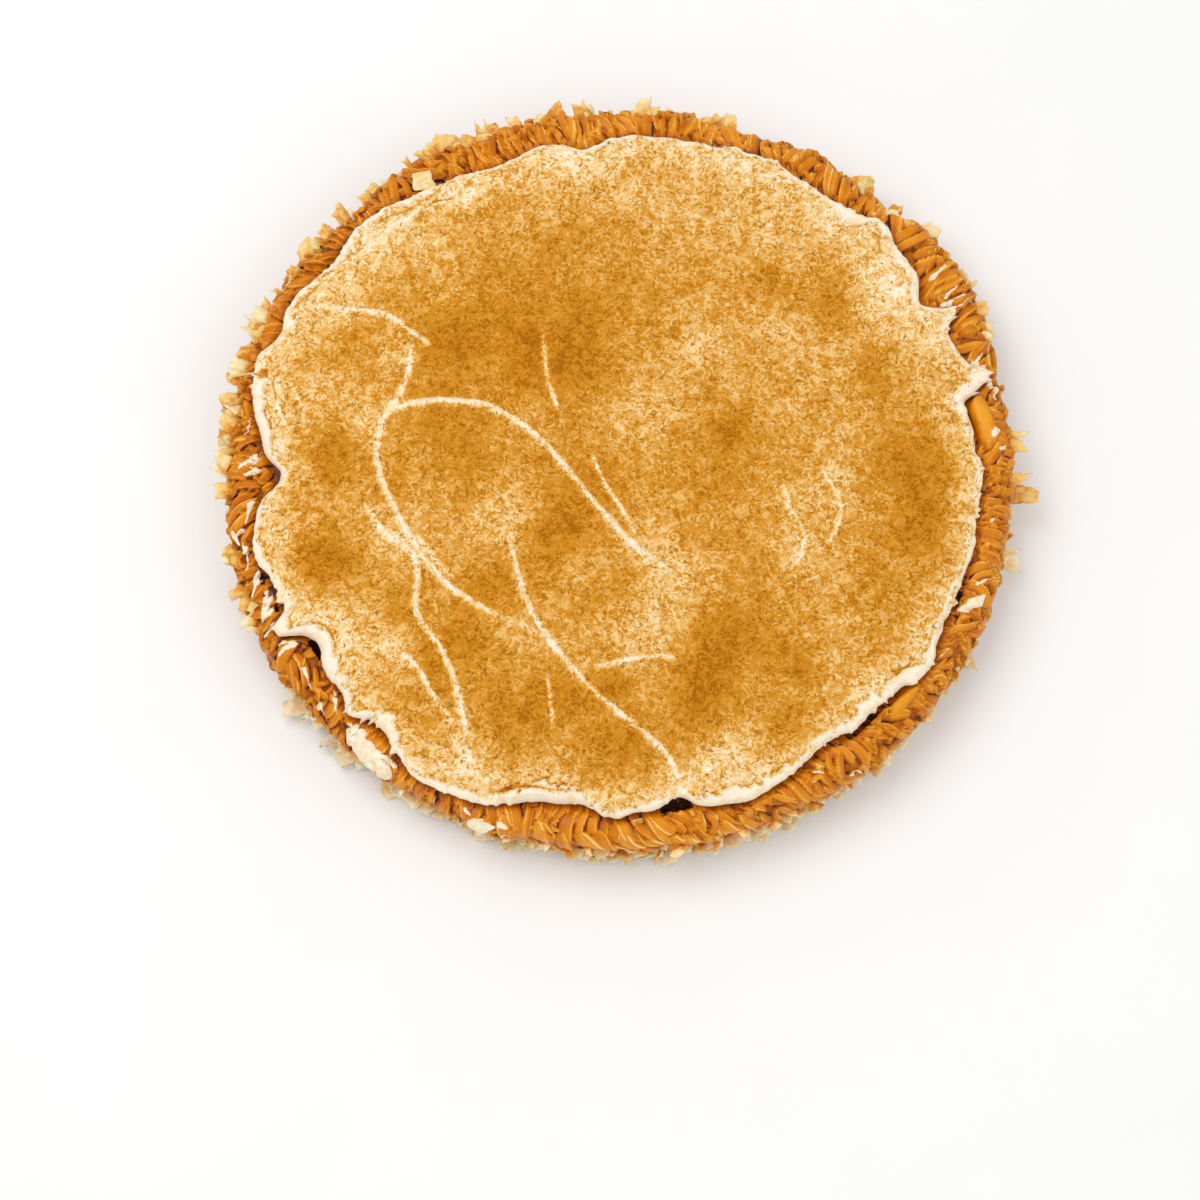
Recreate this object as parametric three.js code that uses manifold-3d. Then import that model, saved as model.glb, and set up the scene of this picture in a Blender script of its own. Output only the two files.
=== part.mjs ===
// Banoffee pie, whole and uncut: a flaky pastry base, a thick layer of dulce de leche whose border is
// combed into ruffles, pastry flakes pressed into the side, and whipped cream with folds and a torn edge.
// Units are millimetres, +Z is up, and the origin is the middle of the flat underside.

import * as THREE from "three";
import { mergeVertices } from "three/addons/utils/BufferGeometryUtils.js";
import Module from "manifold-3d";

const wasm = await Module();
wasm.setup();

// Driving dimensions
const BORDER_RADIUS = 120.2; // caramel border, over its ruffles
const BORDER_PUSH = 1.6; // the border lies this much further back than the cream
const OVAL = 0.01; // share by which the pie is wider across X than its mean, and narrower across Y
const GAP = 0.4; // left between two pieces that touch
const FINEST_DETAIL = 0.03; // anything smaller is smoothed away

const BASE_RADIUS = 114;
const BASE_HEIGHT = 6.5;
const BASE_LEAVES = 3;
const BASE_SPOKES = 72;

const CARAMEL_FLOOR = BASE_HEIGHT + GAP;
const CARAMEL_TOP = 24.5; // where the cream lies on it
const RUFFLE_COUNT = 144;
const RUFFLE_ROWS = [0, 0.17, 0.35, 0.53, 0.7, 0.86]; // from beside the cream down to the foot
const FOOT_INSET = 8.2; // the border's underside starts this far in

const CREAM_RADIUS = 109;
const CREAM_REACH_LIMIT = 115; // the longest tongue
const CREAM_BOTTOM = CARAMEL_TOP + GAP;
const CREAM_TOP = 30.6;
const LIP_THICKNESS = 4.6;
const LIP_WIDTH = 7; // the rounded edge, measured inward
const EDGE_SPOKES = 156;

const FLAKE_THICKNESS = 0.8;
const SLOT_WIDENING = 1.6; // the place cut for a flake is wider sideways by this much more than elsewhere
const LARGE_FLAKE_DEPTH = 6; // the large flakes start this far inside the border's radius
const SMALL_FLAKE_DEPTH = 8.2; // and the small ones this far
const FLAKES_ON_CARAMEL = 22;
const FLAKES_ON_BASE = 14;

// Bays and tongues of the cream's edge: angle in degrees from +X, half width in degrees, reach in millimetres
const EDGE_BUMPS = [
  [2.5, 2.5, -2.2], [9, 4.5, -3.2], [14, 2.4, 6.2], [25.6, 1.6, 6], [29.5, 1.6, -3.5], [36, 3.5, 2.2],
  [43.5, 3, 5], [66, 5, 1.5], [75, 19, 1.8], [96, 3.5, -4.4], [112, 6, -3.4], [134, 7, 4.2],
  [152, 6, 5], [164, 4, 6.5], [170.5, 4, 3.5], [182.3, 3, -7], [194, 6, 3.6], [207.2, 1.8, 7],
  [212, 3, -3.5], [224, 2.5, 4], [239, 6, 7], [248, 5, 4.6], [258, 5, -2], [264, 3, -2],
  [268.5, 2.5, 1.8], [279, 2.6, -4.6], [290, 6, 3], [305, 5, -3.5], [315, 4, -1.8], [325, 4, 2.6],
  [352.5, 4, -1.6],
];

// Bulges and dents of the border's outer side, in the same terms
const BORDER_BULGES = [
  [24, 7, 2.2], [34, 8, 4.6], [40.5, 2.5, 2.4], [52, 4, 1.2], [60, 4.5, 3.2], [79.5, 4, 1.9],
  [100, 4, 0.9], [121, 4, 1.6], [127.5, 2.5, 1], [135.5, 3, -1.4], [150, 4, 1.4], [175, 6, -0.9],
  [191, 4, 0.8], [200, 4, 1.2], [209, 5, 2.2], [219, 3, 0.4], [230, 5, 0.5], [239, 4, 0.6],
  [250, 5, 1.3], [261, 4, 0.6], [276, 6, 0.3], [291, 4, -0.3], [310, 5, 0.6], [352, 6, -0.9],
];

// Folds that the spatula left on the cream: half width and height, then the points of the path on plan
const FOLDS = [
  [2.0, 1.5, [[-72, 14], [-67, 17], [-55, 19], [-40, 17], [-27, 9], [-6, -16], [6, -29], [16, -35]]],
  [1.8, 1.3, [[-64, 41], [-66, 26], [-73, 11], [-74, 0], [-67, -18], [-54, -37], [-42, -46], [-26, -54]]],
  [1.7, 1.2, [[-34, -19], [-32, -32], [-26, -49], [-9, -71], [5, -83], [14, -92], [17, -100]]],
  [1.6, 1.2, [[-101, 50], [-86, 49], [-72, 47], [-65, 42], [-58, 37]]],
  [1.8, 1.2, [[-74, -18], [-62, -31], [-61, -48], [-53, -60], [-47, -78], [-44, -99]]],
  [1.6, 1.0, [[-71, -56], [-62, -63], [-55, -74], [-49, -82]]],
  [1.1, 0.6, [[-23, 39], [-21, 26], [-10, 1], [2, -24]]],
  [1.3, 0.8, [[-7, -65], [3, -62], [14, -61]]],
  [1.5, 1.1, [[-80, 67], [-71, 76], [-60, 83], [-49, 89]]],
  [1.2, 0.6, [[49, -12], [55, -24], [51, -37]]],
];

// Large pastry flakes: angle in degrees, how far out they reach, width, height of the root, pitch in degrees
const LARGE_FLAKES = [
  [22.5, 128.5, 8, 12, 8], [29.5, 133.5, 11, 12, 14], [39, 131.5, 12, 15, 10], [51.7, 127.5, 17, 17, 14],
  [94.1, 129, 7, 17, 25], [110.8, 129, 7, 18, 30], [118.2, 129.5, 22, 18.5, 14], [142.6, 128.5, 8, 17, 16],
  [156.6, 130, 8, 14, 12], [175.4, 126.5, 11, 14, 12], [200.1, 124.5, 15, 12, 14], [215.6, 129.5, 13, 3.6, 4],
  [225, 130.5, 13, 3.6, 2], [237, 123.5, 11, 3.2, 6], [254.3, 124, 9, 3.2, 4], [268.5, 123.5, 21, 4.4, 3],
  [291, 123.5, 9, 3, 5], [325, 122.5, 9, 3.4, 8], [333, 128.5, 7, 3.4, 3], [348, 128.5, 12, 10.5, -4],
  [358, 130.5, 7, 13, 4], [75.1, 128, 5, 17, 20], [147.4, 127.5, 6, 15.5, 14], [318.4, 123, 6, 4, 8],
];

// Lumps on the border: angle in degrees, length along it, width, height, place across it from 0 to 1,
// and how much further out one end lies than the other
const CARAMEL_LUMPS = [[7.4, 18, 5.2, 2.6, 0.265, -2], [319, 13, 3.8, 1.8, 0.31, -0.5]];
const CREAM_DABS = [
  [230, 20, 5, 1.6, 0.52, 3], [249.5, 9, 4, 1.3, 0.6, -2], [191, 6, 3, 1.2, 0.5, -2],
  [337.6, 9, 2.8, 1.2, 0.38, 5],
];

// Gaps torn between the cream and the border: angle in degrees, half width in degrees, radius, width, depth
const CREVICES = [[278.3, 3, 106.6, 2.6, 5], [211.3, 2.6, 108, 2.6, 5.5], [312.5, 4.2, 109, 1.4, 4]];

const COLOURS = { pastry: 0xdcb169, caramel: 0xc07a1c, cream: 0xf3e2c4, dusted: 0xd99a3f, flake: 0xe6cb93 };

const radians = THREE.MathUtils.degToRad;

// Repeatable random numbers from 0 to 1: the same seed always gives the same row of numbers
function randomSource(seed) {
  let state = seed;
  return () => {
    state = (Math.imul(state, 1664525) + 1013904223) >>> 0;
    return state / 4294967296;
  };
}

function between(random, low, high) {
  return low + (high - low) * random();
}

// A smooth uneven wave round the pie, from about -1 to 1
function wander(angle, lobes, phase) {
  return 0.6 * Math.sin(lobes * angle + phase) + 0.4 * Math.sin((2 * lobes + 1) * angle + 2.3 * phase);
}

// A point of the slightly oval pie
function polar(radius, angle, z) {
  const r = radius * (1 + OVAL * Math.cos(2 * angle));
  return new THREE.Vector3(r * Math.cos(angle), r * Math.sin(angle), z);
}

// A closed row of points, one at each of so many even angles round the pie
function ring(spokes, pointAt) {
  return Array.from({ length: spokes }, (_, k) => pointAt((2 * Math.PI * k) / spokes));
}

// Triangles between two closed rows of points that run the same way round and may differ in number
function band(upper, lower, upperStart, lowerStart) {
  const index = [];
  let i = 0;
  let j = 0;
  while (i < upper || j < lower) {
    const a = upperStart + (i % upper);
    const b = lowerStart + (j % lower);
    if (i === upper || (j < lower && (j + 1) * upper <= (i + 1) * lower)) {
      j += 1;
      index.push(a, b, lowerStart + (j % lower));
    } else {
      i += 1;
      index.push(a, b, upperStart + (i % upper));
    }
  }
  return index;
}

// A closed skin over rows of points, with a point that closes it at each end
function skin(firstPoint, rows, lastPoint) {
  const points = [firstPoint];
  const index = [];
  let size = 1;
  let start = 0;
  for (const row of [...rows, [lastPoint]]) {
    index.push(...band(size, row.length, start, points.length));
    start = points.length;
    size = row.length;
    points.push(...row);
  }
  const geometry = new THREE.BufferGeometry().setFromPoints(points);
  geometry.setIndex(index);
  return geometry;
}

function solidFrom(geometry) {
  const bare = geometry.clone();
  bare.deleteAttribute("normal");
  bare.deleteAttribute("uv");
  const merged = mergeVertices(bare, 1e-4);
  const corners = merged.index.array;
  const kept = [];
  for (let k = 0; k < corners.length; k += 3) {
    const [a, b, c] = corners.slice(k, k + 3);
    if (a !== b && b !== c && c !== a) {
      kept.push(a, b, c);
    }
  }
  const mesh = new wasm.Mesh({
    numProp: 3,
    vertProperties: new Float32Array(merged.attributes.position.array),
    triVerts: new Uint32Array(kept),
  });
  return new wasm.Manifold(mesh);
}

// The largest body of a solid, without slivers, as the geometry of a mesh
function geometryFrom(solid) {
  const bodies = solid.decompose().sort((a, b) => b.volume() - a.volume());
  const mesh = bodies[0].simplify(FINEST_DETAIL).getMesh();
  const geometry = new THREE.BufferGeometry();
  geometry.setAttribute("position", new THREE.BufferAttribute(mesh.vertProperties, 3));
  geometry.setIndex(new THREE.BufferAttribute(mesh.triVerts, 1));
  const flat = geometry.toNonIndexed();
  flat.computeVertexNormals();
  return flat;
}

function joined(solids) {
  return wasm.Manifold.union(solids);
}

// A tube that is closed at both ends: sectionAt gives its loop of points at each share of its length
function lofted(steps, startPoint, sectionAt, endPoint) {
  const rows = Array.from({ length: steps - 1 }, (_, k) => sectionAt((k + 1) / steps));
  return solidFrom(skin(startPoint, rows, endPoint));
}

// The sum of these bumps at this angle
function bumpsAt(angle, bumps) {
  let sum = 0;
  for (const [at, halfWidth, size] of bumps) {
    const turn = angle - radians(at);
    const away = Math.atan2(Math.sin(turn), Math.cos(turn)) / radians(halfWidth);
    sum += size * Math.exp(-(away ** 2));
  }
  return sum;
}

// How far the cream reaches at this angle
function creamReach(angle) {
  const reach = CREAM_RADIUS + 0.8 * wander(angle, 7, 1.3) + bumpsAt(angle, EDGE_BUMPS);
  return Math.min(reach, CREAM_REACH_LIMIT);
}

// Height of the cream's surface away from its edge: broad, shallow hollows and swells
function creamSurface(x, y) {
  const swells = 0.45 * Math.sin(x / 17 + 0.6) * Math.cos(y / 21 - 0.4);
  return CREAM_TOP + swells + 0.3 * Math.sin((x + y) / 29 + 2);
}

// A point on the cream's rounded edge: inset is measured inward, and drop down through it from 0 to 1.
// Tongues sink and thin out over the border
function lipPoint(angle, inset, drop) {
  const edge = creamReach(angle);
  const over = Math.max(0, edge - CREAM_RADIUS);
  const thickness = LIP_THICKNESS - 0.35 * over;
  const top = creamSurface(edge * Math.cos(angle), edge * Math.sin(angle)) - 0.2 * over;
  return polar(edge - inset, angle, top + 0.4 * wander(angle, 11, 0.4) - drop * thickness);
}

// The spread of cream, with its rounded edge
function creamSpread() {
  const surfaceAt = (radius, angle) => {
    const place = polar(radius, angle, 0);
    return place.setZ(creamSurface(place.x, place.y));
  };
  const rows = [
    ring(24, (angle) => surfaceAt(0.35 * CREAM_RADIUS, angle)),
    ring(48, (angle) => surfaceAt(0.7 * CREAM_RADIUS, angle)),
    ring(EDGE_SPOKES / 2, (angle) => surfaceAt(creamReach(angle) - LIP_WIDTH, angle)),
    ring(EDGE_SPOKES, (angle) => lipPoint(angle, 3, 0)),
    ring(EDGE_SPOKES, (angle) => lipPoint(angle, 0.8, 0.2)),
    ring(EDGE_SPOKES, (angle) => lipPoint(angle, 0, 0.55)),
    ring(EDGE_SPOKES, (angle) => lipPoint(angle, 1.4, 1)),
    ring(EDGE_SPOKES / 2, (angle) => polar(creamReach(angle) - LIP_WIDTH, angle, CREAM_BOTTOM)),
  ];
  const middle = new THREE.Vector3(0, 0, creamSurface(0, 0));
  return solidFrom(skin(middle, rows, new THREE.Vector3(0, 0, CREAM_BOTTOM)));
}

// Height of the cream's upper side, which sinks a little towards the end of a tongue
function creamHeight(x, y) {
  const edge = creamReach(Math.atan2(y, x));
  const sunk = THREE.MathUtils.smoothstep(Math.hypot(x, y), edge - LIP_WIDTH, edge - 3);
  return creamSurface(x, y) - 0.2 * Math.max(0, edge - CREAM_RADIUS) * sunk;
}

// One fold of cream: a low rounded bank along its path, thin at both ends, rooted below the surface
function fold([width, height, points]) {
  const path = new THREE.CatmullRomCurve3(points.map(([x, y]) => new THREE.Vector3(x, y, 0)));
  const place = (share, across, up) => {
    const centre = path.getPointAt(share);
    const along = path.getTangentAt(share);
    const x = centre.x - along.y * across;
    const y = centre.y + along.x * across;
    return new THREE.Vector3(x, y, creamHeight(x, y) + up);
  };
  const sectionAt = (share) => {
    const swell = Math.sin(Math.PI * share) ** 0.5;
    const half = width * swell + 0.6;
    return [
      place(share, half, -0.9),
      place(share, 0.3 * half, height * swell),
      place(share, -0.5 * half, 0.7 * height * swell),
      place(share, -half, -0.9),
      place(share, 0, -1.8),
    ];
  };
  const steps = Math.max(5, Math.round(path.getLength() / 9));
  return lofted(steps, place(0, 0, -1), sectionAt, place(1, 0, -1));
}

// The line across the caramel border, from beside the cream over the crest and down the side: radius, height
const BORDER_LINE = new THREE.CatmullRomCurve3([
  new THREE.Vector3(103, 0, CARAMEL_TOP - 0.4),
  new THREE.Vector3(108.5, 0, 25.4),
  new THREE.Vector3(114.5, 0, 25.6),
  new THREE.Vector3(BORDER_RADIUS - 1.9, 0, 22.2),
  new THREE.Vector3(BORDER_RADIUS - 1.5, 0, 15),
  new THREE.Vector3(BORDER_RADIUS - 3.2, 0, CARAMEL_FLOOR + 1.2),
]);

// How far the border's outer side bulges at this angle
function borderBulge(angle) {
  return BORDER_PUSH * Math.sin(angle) + bumpsAt(angle, BORDER_BULGES);
}

// Radius of the border at this share of its line, from 0 to 1
function borderRadius(share, angle) {
  return BORDER_LINE.getPoint(share).x + borderBulge(angle) * THREE.MathUtils.smoothstep(share, 0.05, 0.5);
}

// A point of the border, standing proud of its line
function borderPoint(share, angle, proud) {
  const along = BORDER_LINE.getTangent(share);
  const { z } = BORDER_LINE.getPoint(share);
  return polar(borderRadius(share, angle) - along.z * proud, angle, z + along.x * proud);
}

// The ruffles one after another round the border, each with its own width, height, lean and curl
function ruffleRules() {
  const random = randomSource(41);
  const widths = Array.from({ length: RUFFLE_COUNT }, () => between(random, 0.6, 1.4));
  const total = widths.reduce((sum, width) => sum + width, 0);
  let turn = 0;
  return widths.map((width) => {
    const start = (2 * Math.PI * turn) / total;
    turn += width;
    const end = (2 * Math.PI * turn) / total;
    return {
      crest: start + 0.4 * (end - start),
      groove: end,
      lean: radians(2 + 2.2 * wander(start, 3, 0.9) + between(random, -0.25, 0.25)),
      curl: radians(0.7 * wander(start, 21, 0.5)),
      height: between(random, 0.9, 2.2) * width,
      depth: between(random, 0.3, 1.3),
      foot: between(random, 0.6, 1),
    };
  });
}

const RUFFLES = ruffleRules();

// Where the border line comes out from under the cream, as a share of the line
function clearOfCream(angle) {
  const radius = creamReach(angle) + 2 * GAP;
  let share = 0;
  while (borderRadius(share, angle) < radius && share < 0.62) {
    share += 0.01;
  }
  return share;
}

// How far round a ruffle has turned at this share of the border line
function bend({ lean, curl }, share) {
  return lean * (share / 0.55 - 0.5) + curl * Math.sin(9 * share);
}

// One row of the border, with a crest point and a groove point for every ruffle
function ruffledRow(rowShare) {
  const rise = THREE.MathUtils.smoothstep(rowShare, -0.05, 0.2);
  return RUFFLES.flatMap((rule, k) => {
    const next = RUFFLES[(k + 1) % RUFFLE_COUNT];
    const pointAt = (angleAt, proud) => {
      const start = clearOfCream(angleAt(clearOfCream(angleAt(0.3))));
      const share = start + (1 - start) * rowShare;
      const fade = 1 - 0.75 * THREE.MathUtils.smoothstep(share, rule.foot - 0.15, rule.foot + 0.1);
      return borderPoint(share, angleAt(share), rise * fade * proud - 0.4);
    };
    return [
      pointAt((share) => rule.crest + bend(rule, share), rule.height),
      pointAt((share) => rule.groove + (bend(rule, share) + bend(next, share)) / 2, -rule.depth),
    ];
  });
}

// The caramel: level under the cream, with the border round it
function caramelLayer() {
  const underLip = (angle) => {
    const point = lipPoint(angle, 1.6, 1);
    return point.setZ(Math.min(point.z - 2 * GAP, CARAMEL_TOP + 0.5 * GAP));
  };
  const plainRow = (every, share, pointAt) => RUFFLES.filter((_, k) => k % every === 0)
    .map((rule) => pointAt(rule.crest + bend(rule, share)));
  const rows = [
    plainRow(2, 0.25, (angle) => polar(creamReach(angle) - LIP_WIDTH, angle, CARAMEL_TOP)),
    plainRow(1, 0.25, underLip),
    ...RUFFLE_ROWS.map(ruffledRow),
    plainRow(2, 1, (angle) => borderPoint(1, angle, 0)),
    plainRow(2, 1, (angle) => polar(BORDER_RADIUS - FOOT_INSET, angle, CARAMEL_FLOOR)),
  ];
  return solidFrom(skin(new THREE.Vector3(0, 0, CARAMEL_TOP), rows, new THREE.Vector3(0, 0, CARAMEL_FLOOR)));
}

// A flattened lump that follows the border
function lump([degrees, length, width, height, middle, slant], grow) {
  const half = length / 2 / BORDER_RADIUS;
  const sink = 1; // how far its middle lies under the ruffles' crests
  const place = (share, across, proud) => {
    const t = 2 * share - 1;
    return borderPoint(middle + (across + 0.5 * slant * t) / 26, radians(degrees) + half * t, proud);
  };
  const sectionAt = (share) => {
    const swell = Math.sin(Math.PI * share) ** 0.5 * (1 + 0.15 * Math.sin(9 * share));
    const corner = (_, k) => {
      const turn = (-Math.PI * k) / 3;
      const across = (0.5 * width * swell + grow) * Math.sin(turn);
      return place(share, across, sink + (height * swell + grow) * Math.cos(turn));
    };
    return Array.from({ length: 6 }, corner);
  };
  const tip = grow / length;
  return lofted(6, place(-tip, 0, sink), sectionAt, place(1 + tip, 0, sink));
}

// A torn gap: a wedge that is widest and deepest in its middle
function crevice([degrees, halfWidth, radius, width, depth]) {
  const place = (share, across, z) => {
    const angle = radians(degrees + halfWidth * (2 * share - 1));
    return polar(radius + across + 0.4 * Math.sin(7 * share), angle, z);
  };
  const top = CARAMEL_TOP + 6;
  const sectionAt = (share) => {
    const swell = Math.sin(Math.PI * share);
    const half = 0.5 * width * swell;
    const bottom = CARAMEL_TOP - depth * swell;
    return [place(share, half, top), place(share, -half, top), place(share, -0.6 * half, bottom),
      place(share, 0.6 * half, bottom)];
  };
  return lofted(8, place(0, 0, CARAMEL_TOP), sectionAt, place(1, 0, CARAMEL_TOP));
}

// Closes a grid of points into a thin plate: the grid again below it, and a strip round the edge
function plateFrom(grid, thickness) {
  const columns = grid[0].length;
  const cells = grid.length * columns;
  const layer = (side) => grid.flat().map(([x, y, z]) => new THREE.Vector3(x, y, z + side * thickness));
  const index = [];
  for (let i = 0; i < grid.length - 1; i += 1) {
    for (let j = 0; j < columns - 1; j += 1) {
      const a = i * columns + j;
      const [b, c, d] = [a + columns, a + columns + 1, a + 1];
      index.push(a, b, c, a, c, d, a + cells, c + cells, b + cells, a + cells, d + cells, c + cells);
    }
  }
  const edge = [];
  for (let j = 0; j < columns - 1; j += 1) {
    edge.push(j);
  }
  for (let i = 0; i < grid.length - 1; i += 1) {
    edge.push(i * columns + columns - 1);
  }
  for (let j = columns - 1; j > 0; j -= 1) {
    edge.push((grid.length - 1) * columns + j);
  }
  for (let i = grid.length - 1; i > 0; i -= 1) {
    edge.push(i * columns);
  }
  edge.forEach((a, k) => {
    const b = edge[(k + 1) % edge.length];
    index.push(a, b, a + cells, b, b + cells, a + cells);
  });
  const geometry = new THREE.BufferGeometry().setFromPoints([...layer(0.5), ...layer(-0.5)]);
  geometry.setIndex(index);
  return geometry;
}

// A thin wavy flake with a torn outline, or the place to cut for it, which is grown all round:
// it lies level and points along +X from its root at the origin
function flakePlate({ length, width, random, along, across, grow }) {
  const grid = [];
  for (let i = 0; i <= along; i += 1) {
    const u = i / along;
    const taper = 1 - 0.35 * u + between(random, -0.18, 0.18);
    const row = [];
    for (let j = 0; j <= across; j += 1) {
      const v = (2 * j) / across - 1;
      const tear = i === along ? between(random, -0.3, 0) * length : 0;
      const x = length * u + tear + grow * (2 * u - 1);
      const y = v * (0.5 * width * taper + SLOT_WIDENING * grow);
      row.push([x, y, 0.09 * width * Math.sin(2.1 * v + 1.7 * u) + 0.05 * length * Math.sin(3 * u + v)]);
    }
    grid.push(row);
  }
  return plateFrom(grid, FLAKE_THICKNESS + 2 * grow);
}

// Turns a level flake so that it stands out from the pie's side
function planted(geometry, { angle, radius, z, pitch, roll, yaw }) {
  const root = polar(radius, angle, z);
  const turn = new THREE.Matrix4()
    .makeRotationZ(angle + yaw)
    .multiply(new THREE.Matrix4().makeRotationY(-pitch))
    .multiply(new THREE.Matrix4().makeRotationX(roll));
  return solidFrom(geometry.applyMatrix4(turn).translate(root.x, root.y, root.z));
}

function largeFlake([degrees, reach, width, z, pitch], number, grow) {
  const random = randomSource(900 + 17 * number);
  const radius = BORDER_RADIUS - LARGE_FLAKE_DEPTH;
  const plate = flakePlate({ length: reach - radius, width, random, along: 3, across: 2, grow });
  return planted(plate, {
    angle: radians(degrees),
    radius,
    z,
    pitch: radians(pitch),
    roll: radians(between(random, -14, 14)),
    yaw: radians(between(random, -16, 16)),
  });
}

// Small flakes fused to the side, spread evenly by a seeded draw
function smallFlakes(count, seed, lowest, highest) {
  const random = randomSource(seed);
  return Array.from({ length: count }, (_, k) => {
    const length = between(random, 6.5, 9.5);
    const width = between(random, 4, 8);
    const plate = flakePlate({ length, width, random, along: 2, across: 1, grow: 0 });
    return planted(plate, {
      angle: (2 * Math.PI * (k + between(random, -0.35, 0.35))) / count,
      radius: BORDER_RADIUS - SMALL_FLAKE_DEPTH,
      z: between(random, lowest, highest),
      pitch: radians(between(random, -5, 40)),
      roll: radians(between(random, -40, 40)),
      yaw: radians(between(random, -40, 40)),
    });
  });
}

// The pastry disc: thin leaves of pastry with uneven edges, one above the other
function pastryDisc() {
  const leaf = BASE_HEIGHT / BASE_LEAVES;
  const rows = [];
  for (let layer = BASE_LEAVES - 1; layer >= 0; layer -= 1) {
    const edgeAt = (angle) => BASE_RADIUS + 1.3 * wander(angle, 8 + 5 * layer, 1.1 + layer);
    rows.push(ring(BASE_SPOKES, (angle) => polar(edgeAt(angle) - 1.5, angle, leaf * (layer + 1))));
    rows.push(ring(BASE_SPOKES, (angle) => polar(edgeAt(angle), angle, leaf * (layer + 0.45))));
  }
  rows.push(ring(BASE_SPOKES, (angle) => polar(BASE_RADIUS - 2, angle, 0)));
  return solidFrom(skin(new THREE.Vector3(0, 0, BASE_HEIGHT), rows, new THREE.Vector3()));
}

// The level slice of space from one height up to another
function slice(bottom, top) {
  const size = 3 * BORDER_RADIUS;
  return solidFrom(new THREE.BoxGeometry(size, size, top - bottom).translate(0, 0, (bottom + top) / 2));
}

function caramel(cutters) {
  const flakes = smallFlakes(FLAKES_ON_CARAMEL, 77, CARAMEL_FLOOR + 1.5, 17);
  const lumps = CARAMEL_LUMPS.map((entry) => lump(entry, 0));
  const slab = slice(CARAMEL_FLOOR, CREAM_TOP);
  return joined([caramelLayer(), ...lumps, ...flakes]).subtract(joined(cutters)).intersect(slab);
}

function pastryBase(cutters) {
  const flakes = smallFlakes(FLAKES_ON_BASE, 53, 2, BASE_HEIGHT - 2);
  return joined([pastryDisc(), ...flakes]).subtract(joined(cutters)).intersect(slice(0, BASE_HEIGHT));
}

function addPiece(group, name, solid, colour, roughness) {
  const material = new THREE.MeshStandardMaterial({ color: colour, roughness, metalness: 0 });
  const mesh = new THREE.Mesh(geometryFrom(solid), material);
  mesh.name = name;
  group.add(mesh);
}

const pie = new THREE.Group();
const flakePlaces = LARGE_FLAKES.map((flake, number) => largeFlake(flake, number, 1.5 * GAP));
const dabPlaces = CREAM_DABS.map((entry) => lump(entry, 1.5 * GAP));
const caramelCuts = [...flakePlaces, ...dabPlaces, ...CREVICES.map(crevice)];

addPiece(pie, "pastry_base", pastryBase(flakePlaces), COLOURS.pastry, 0.8);
addPiece(pie, "caramel", caramel(caramelCuts), COLOURS.caramel, 0.35);
addPiece(pie, "cream_top", joined([creamSpread(), ...FOLDS.map(fold)]), COLOURS.dusted, 0.7);
LARGE_FLAKES.forEach((flake, number) => {
  const name = `pastry_flake_${String(number + 1).padStart(2, "0")}`;
  addPiece(pie, name, largeFlake(flake, number, 0), COLOURS.flake, 0.7);
});
CREAM_DABS.forEach((entry, number) => {
  addPiece(pie, `cream_dab_${number + 1}`, lump(entry, 0), COLOURS.cream, 0.6);
});

export default pie;
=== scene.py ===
# Looks of the banoffee pie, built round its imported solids. Sizes are in millimetres, with the same
# driving dimensions and seeded rules as the solids, and each mesh is turned into metres as it is made.
import math

import bpy
import numpy as np
from mathutils import Matrix, Vector


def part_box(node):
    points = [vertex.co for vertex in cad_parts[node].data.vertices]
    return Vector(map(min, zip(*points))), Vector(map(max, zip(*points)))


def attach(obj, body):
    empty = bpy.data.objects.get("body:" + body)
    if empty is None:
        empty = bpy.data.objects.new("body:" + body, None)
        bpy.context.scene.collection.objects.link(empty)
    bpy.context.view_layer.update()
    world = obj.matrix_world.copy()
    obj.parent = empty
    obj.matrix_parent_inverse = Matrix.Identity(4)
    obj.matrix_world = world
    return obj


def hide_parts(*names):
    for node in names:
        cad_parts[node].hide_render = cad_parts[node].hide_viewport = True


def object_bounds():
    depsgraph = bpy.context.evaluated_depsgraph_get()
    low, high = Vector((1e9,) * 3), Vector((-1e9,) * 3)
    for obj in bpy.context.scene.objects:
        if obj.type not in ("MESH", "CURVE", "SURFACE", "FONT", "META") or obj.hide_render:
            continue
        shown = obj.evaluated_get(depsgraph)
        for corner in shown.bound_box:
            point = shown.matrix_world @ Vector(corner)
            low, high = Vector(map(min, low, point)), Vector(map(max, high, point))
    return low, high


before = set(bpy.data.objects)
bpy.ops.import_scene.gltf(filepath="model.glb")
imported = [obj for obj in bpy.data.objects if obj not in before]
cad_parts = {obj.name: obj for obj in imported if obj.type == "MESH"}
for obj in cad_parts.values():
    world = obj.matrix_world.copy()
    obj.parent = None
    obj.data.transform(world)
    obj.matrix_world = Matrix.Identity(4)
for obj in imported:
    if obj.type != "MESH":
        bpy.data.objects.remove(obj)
cad_box = [list(corner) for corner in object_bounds()]

# Driving dimensions
MM = 0.001
BORDER_RADIUS = 120.2
BORDER_PUSH = 1.6
OVAL = 0.01
GAP = 0.4
BASE_RADIUS = 114.0
BASE_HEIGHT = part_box("pastry_base")[1][2] / MM
CARAMEL_FLOOR = BASE_HEIGHT + GAP
CARAMEL_TOP = 24.5
CREAM_RADIUS = 109.0
CREAM_REACH_LIMIT = 115.0
CREAM_BOTTOM = CARAMEL_TOP + GAP
CREAM_TOP = 30.6
LIP_THICKNESS = 4.6
LIP_WIDTH = 7.0
LIP_START = 3
BORDER_LINE = 26
LEAF_THICKNESS = 0.4
LARGE_FLAKE_DEPTH = 6.0
SMALL_FLAKE_DEPTH = 8.2
FOOT_INSET = 8.2
MIDDLE_RING = 40.0
BASE_LEAVES = 9

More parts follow.
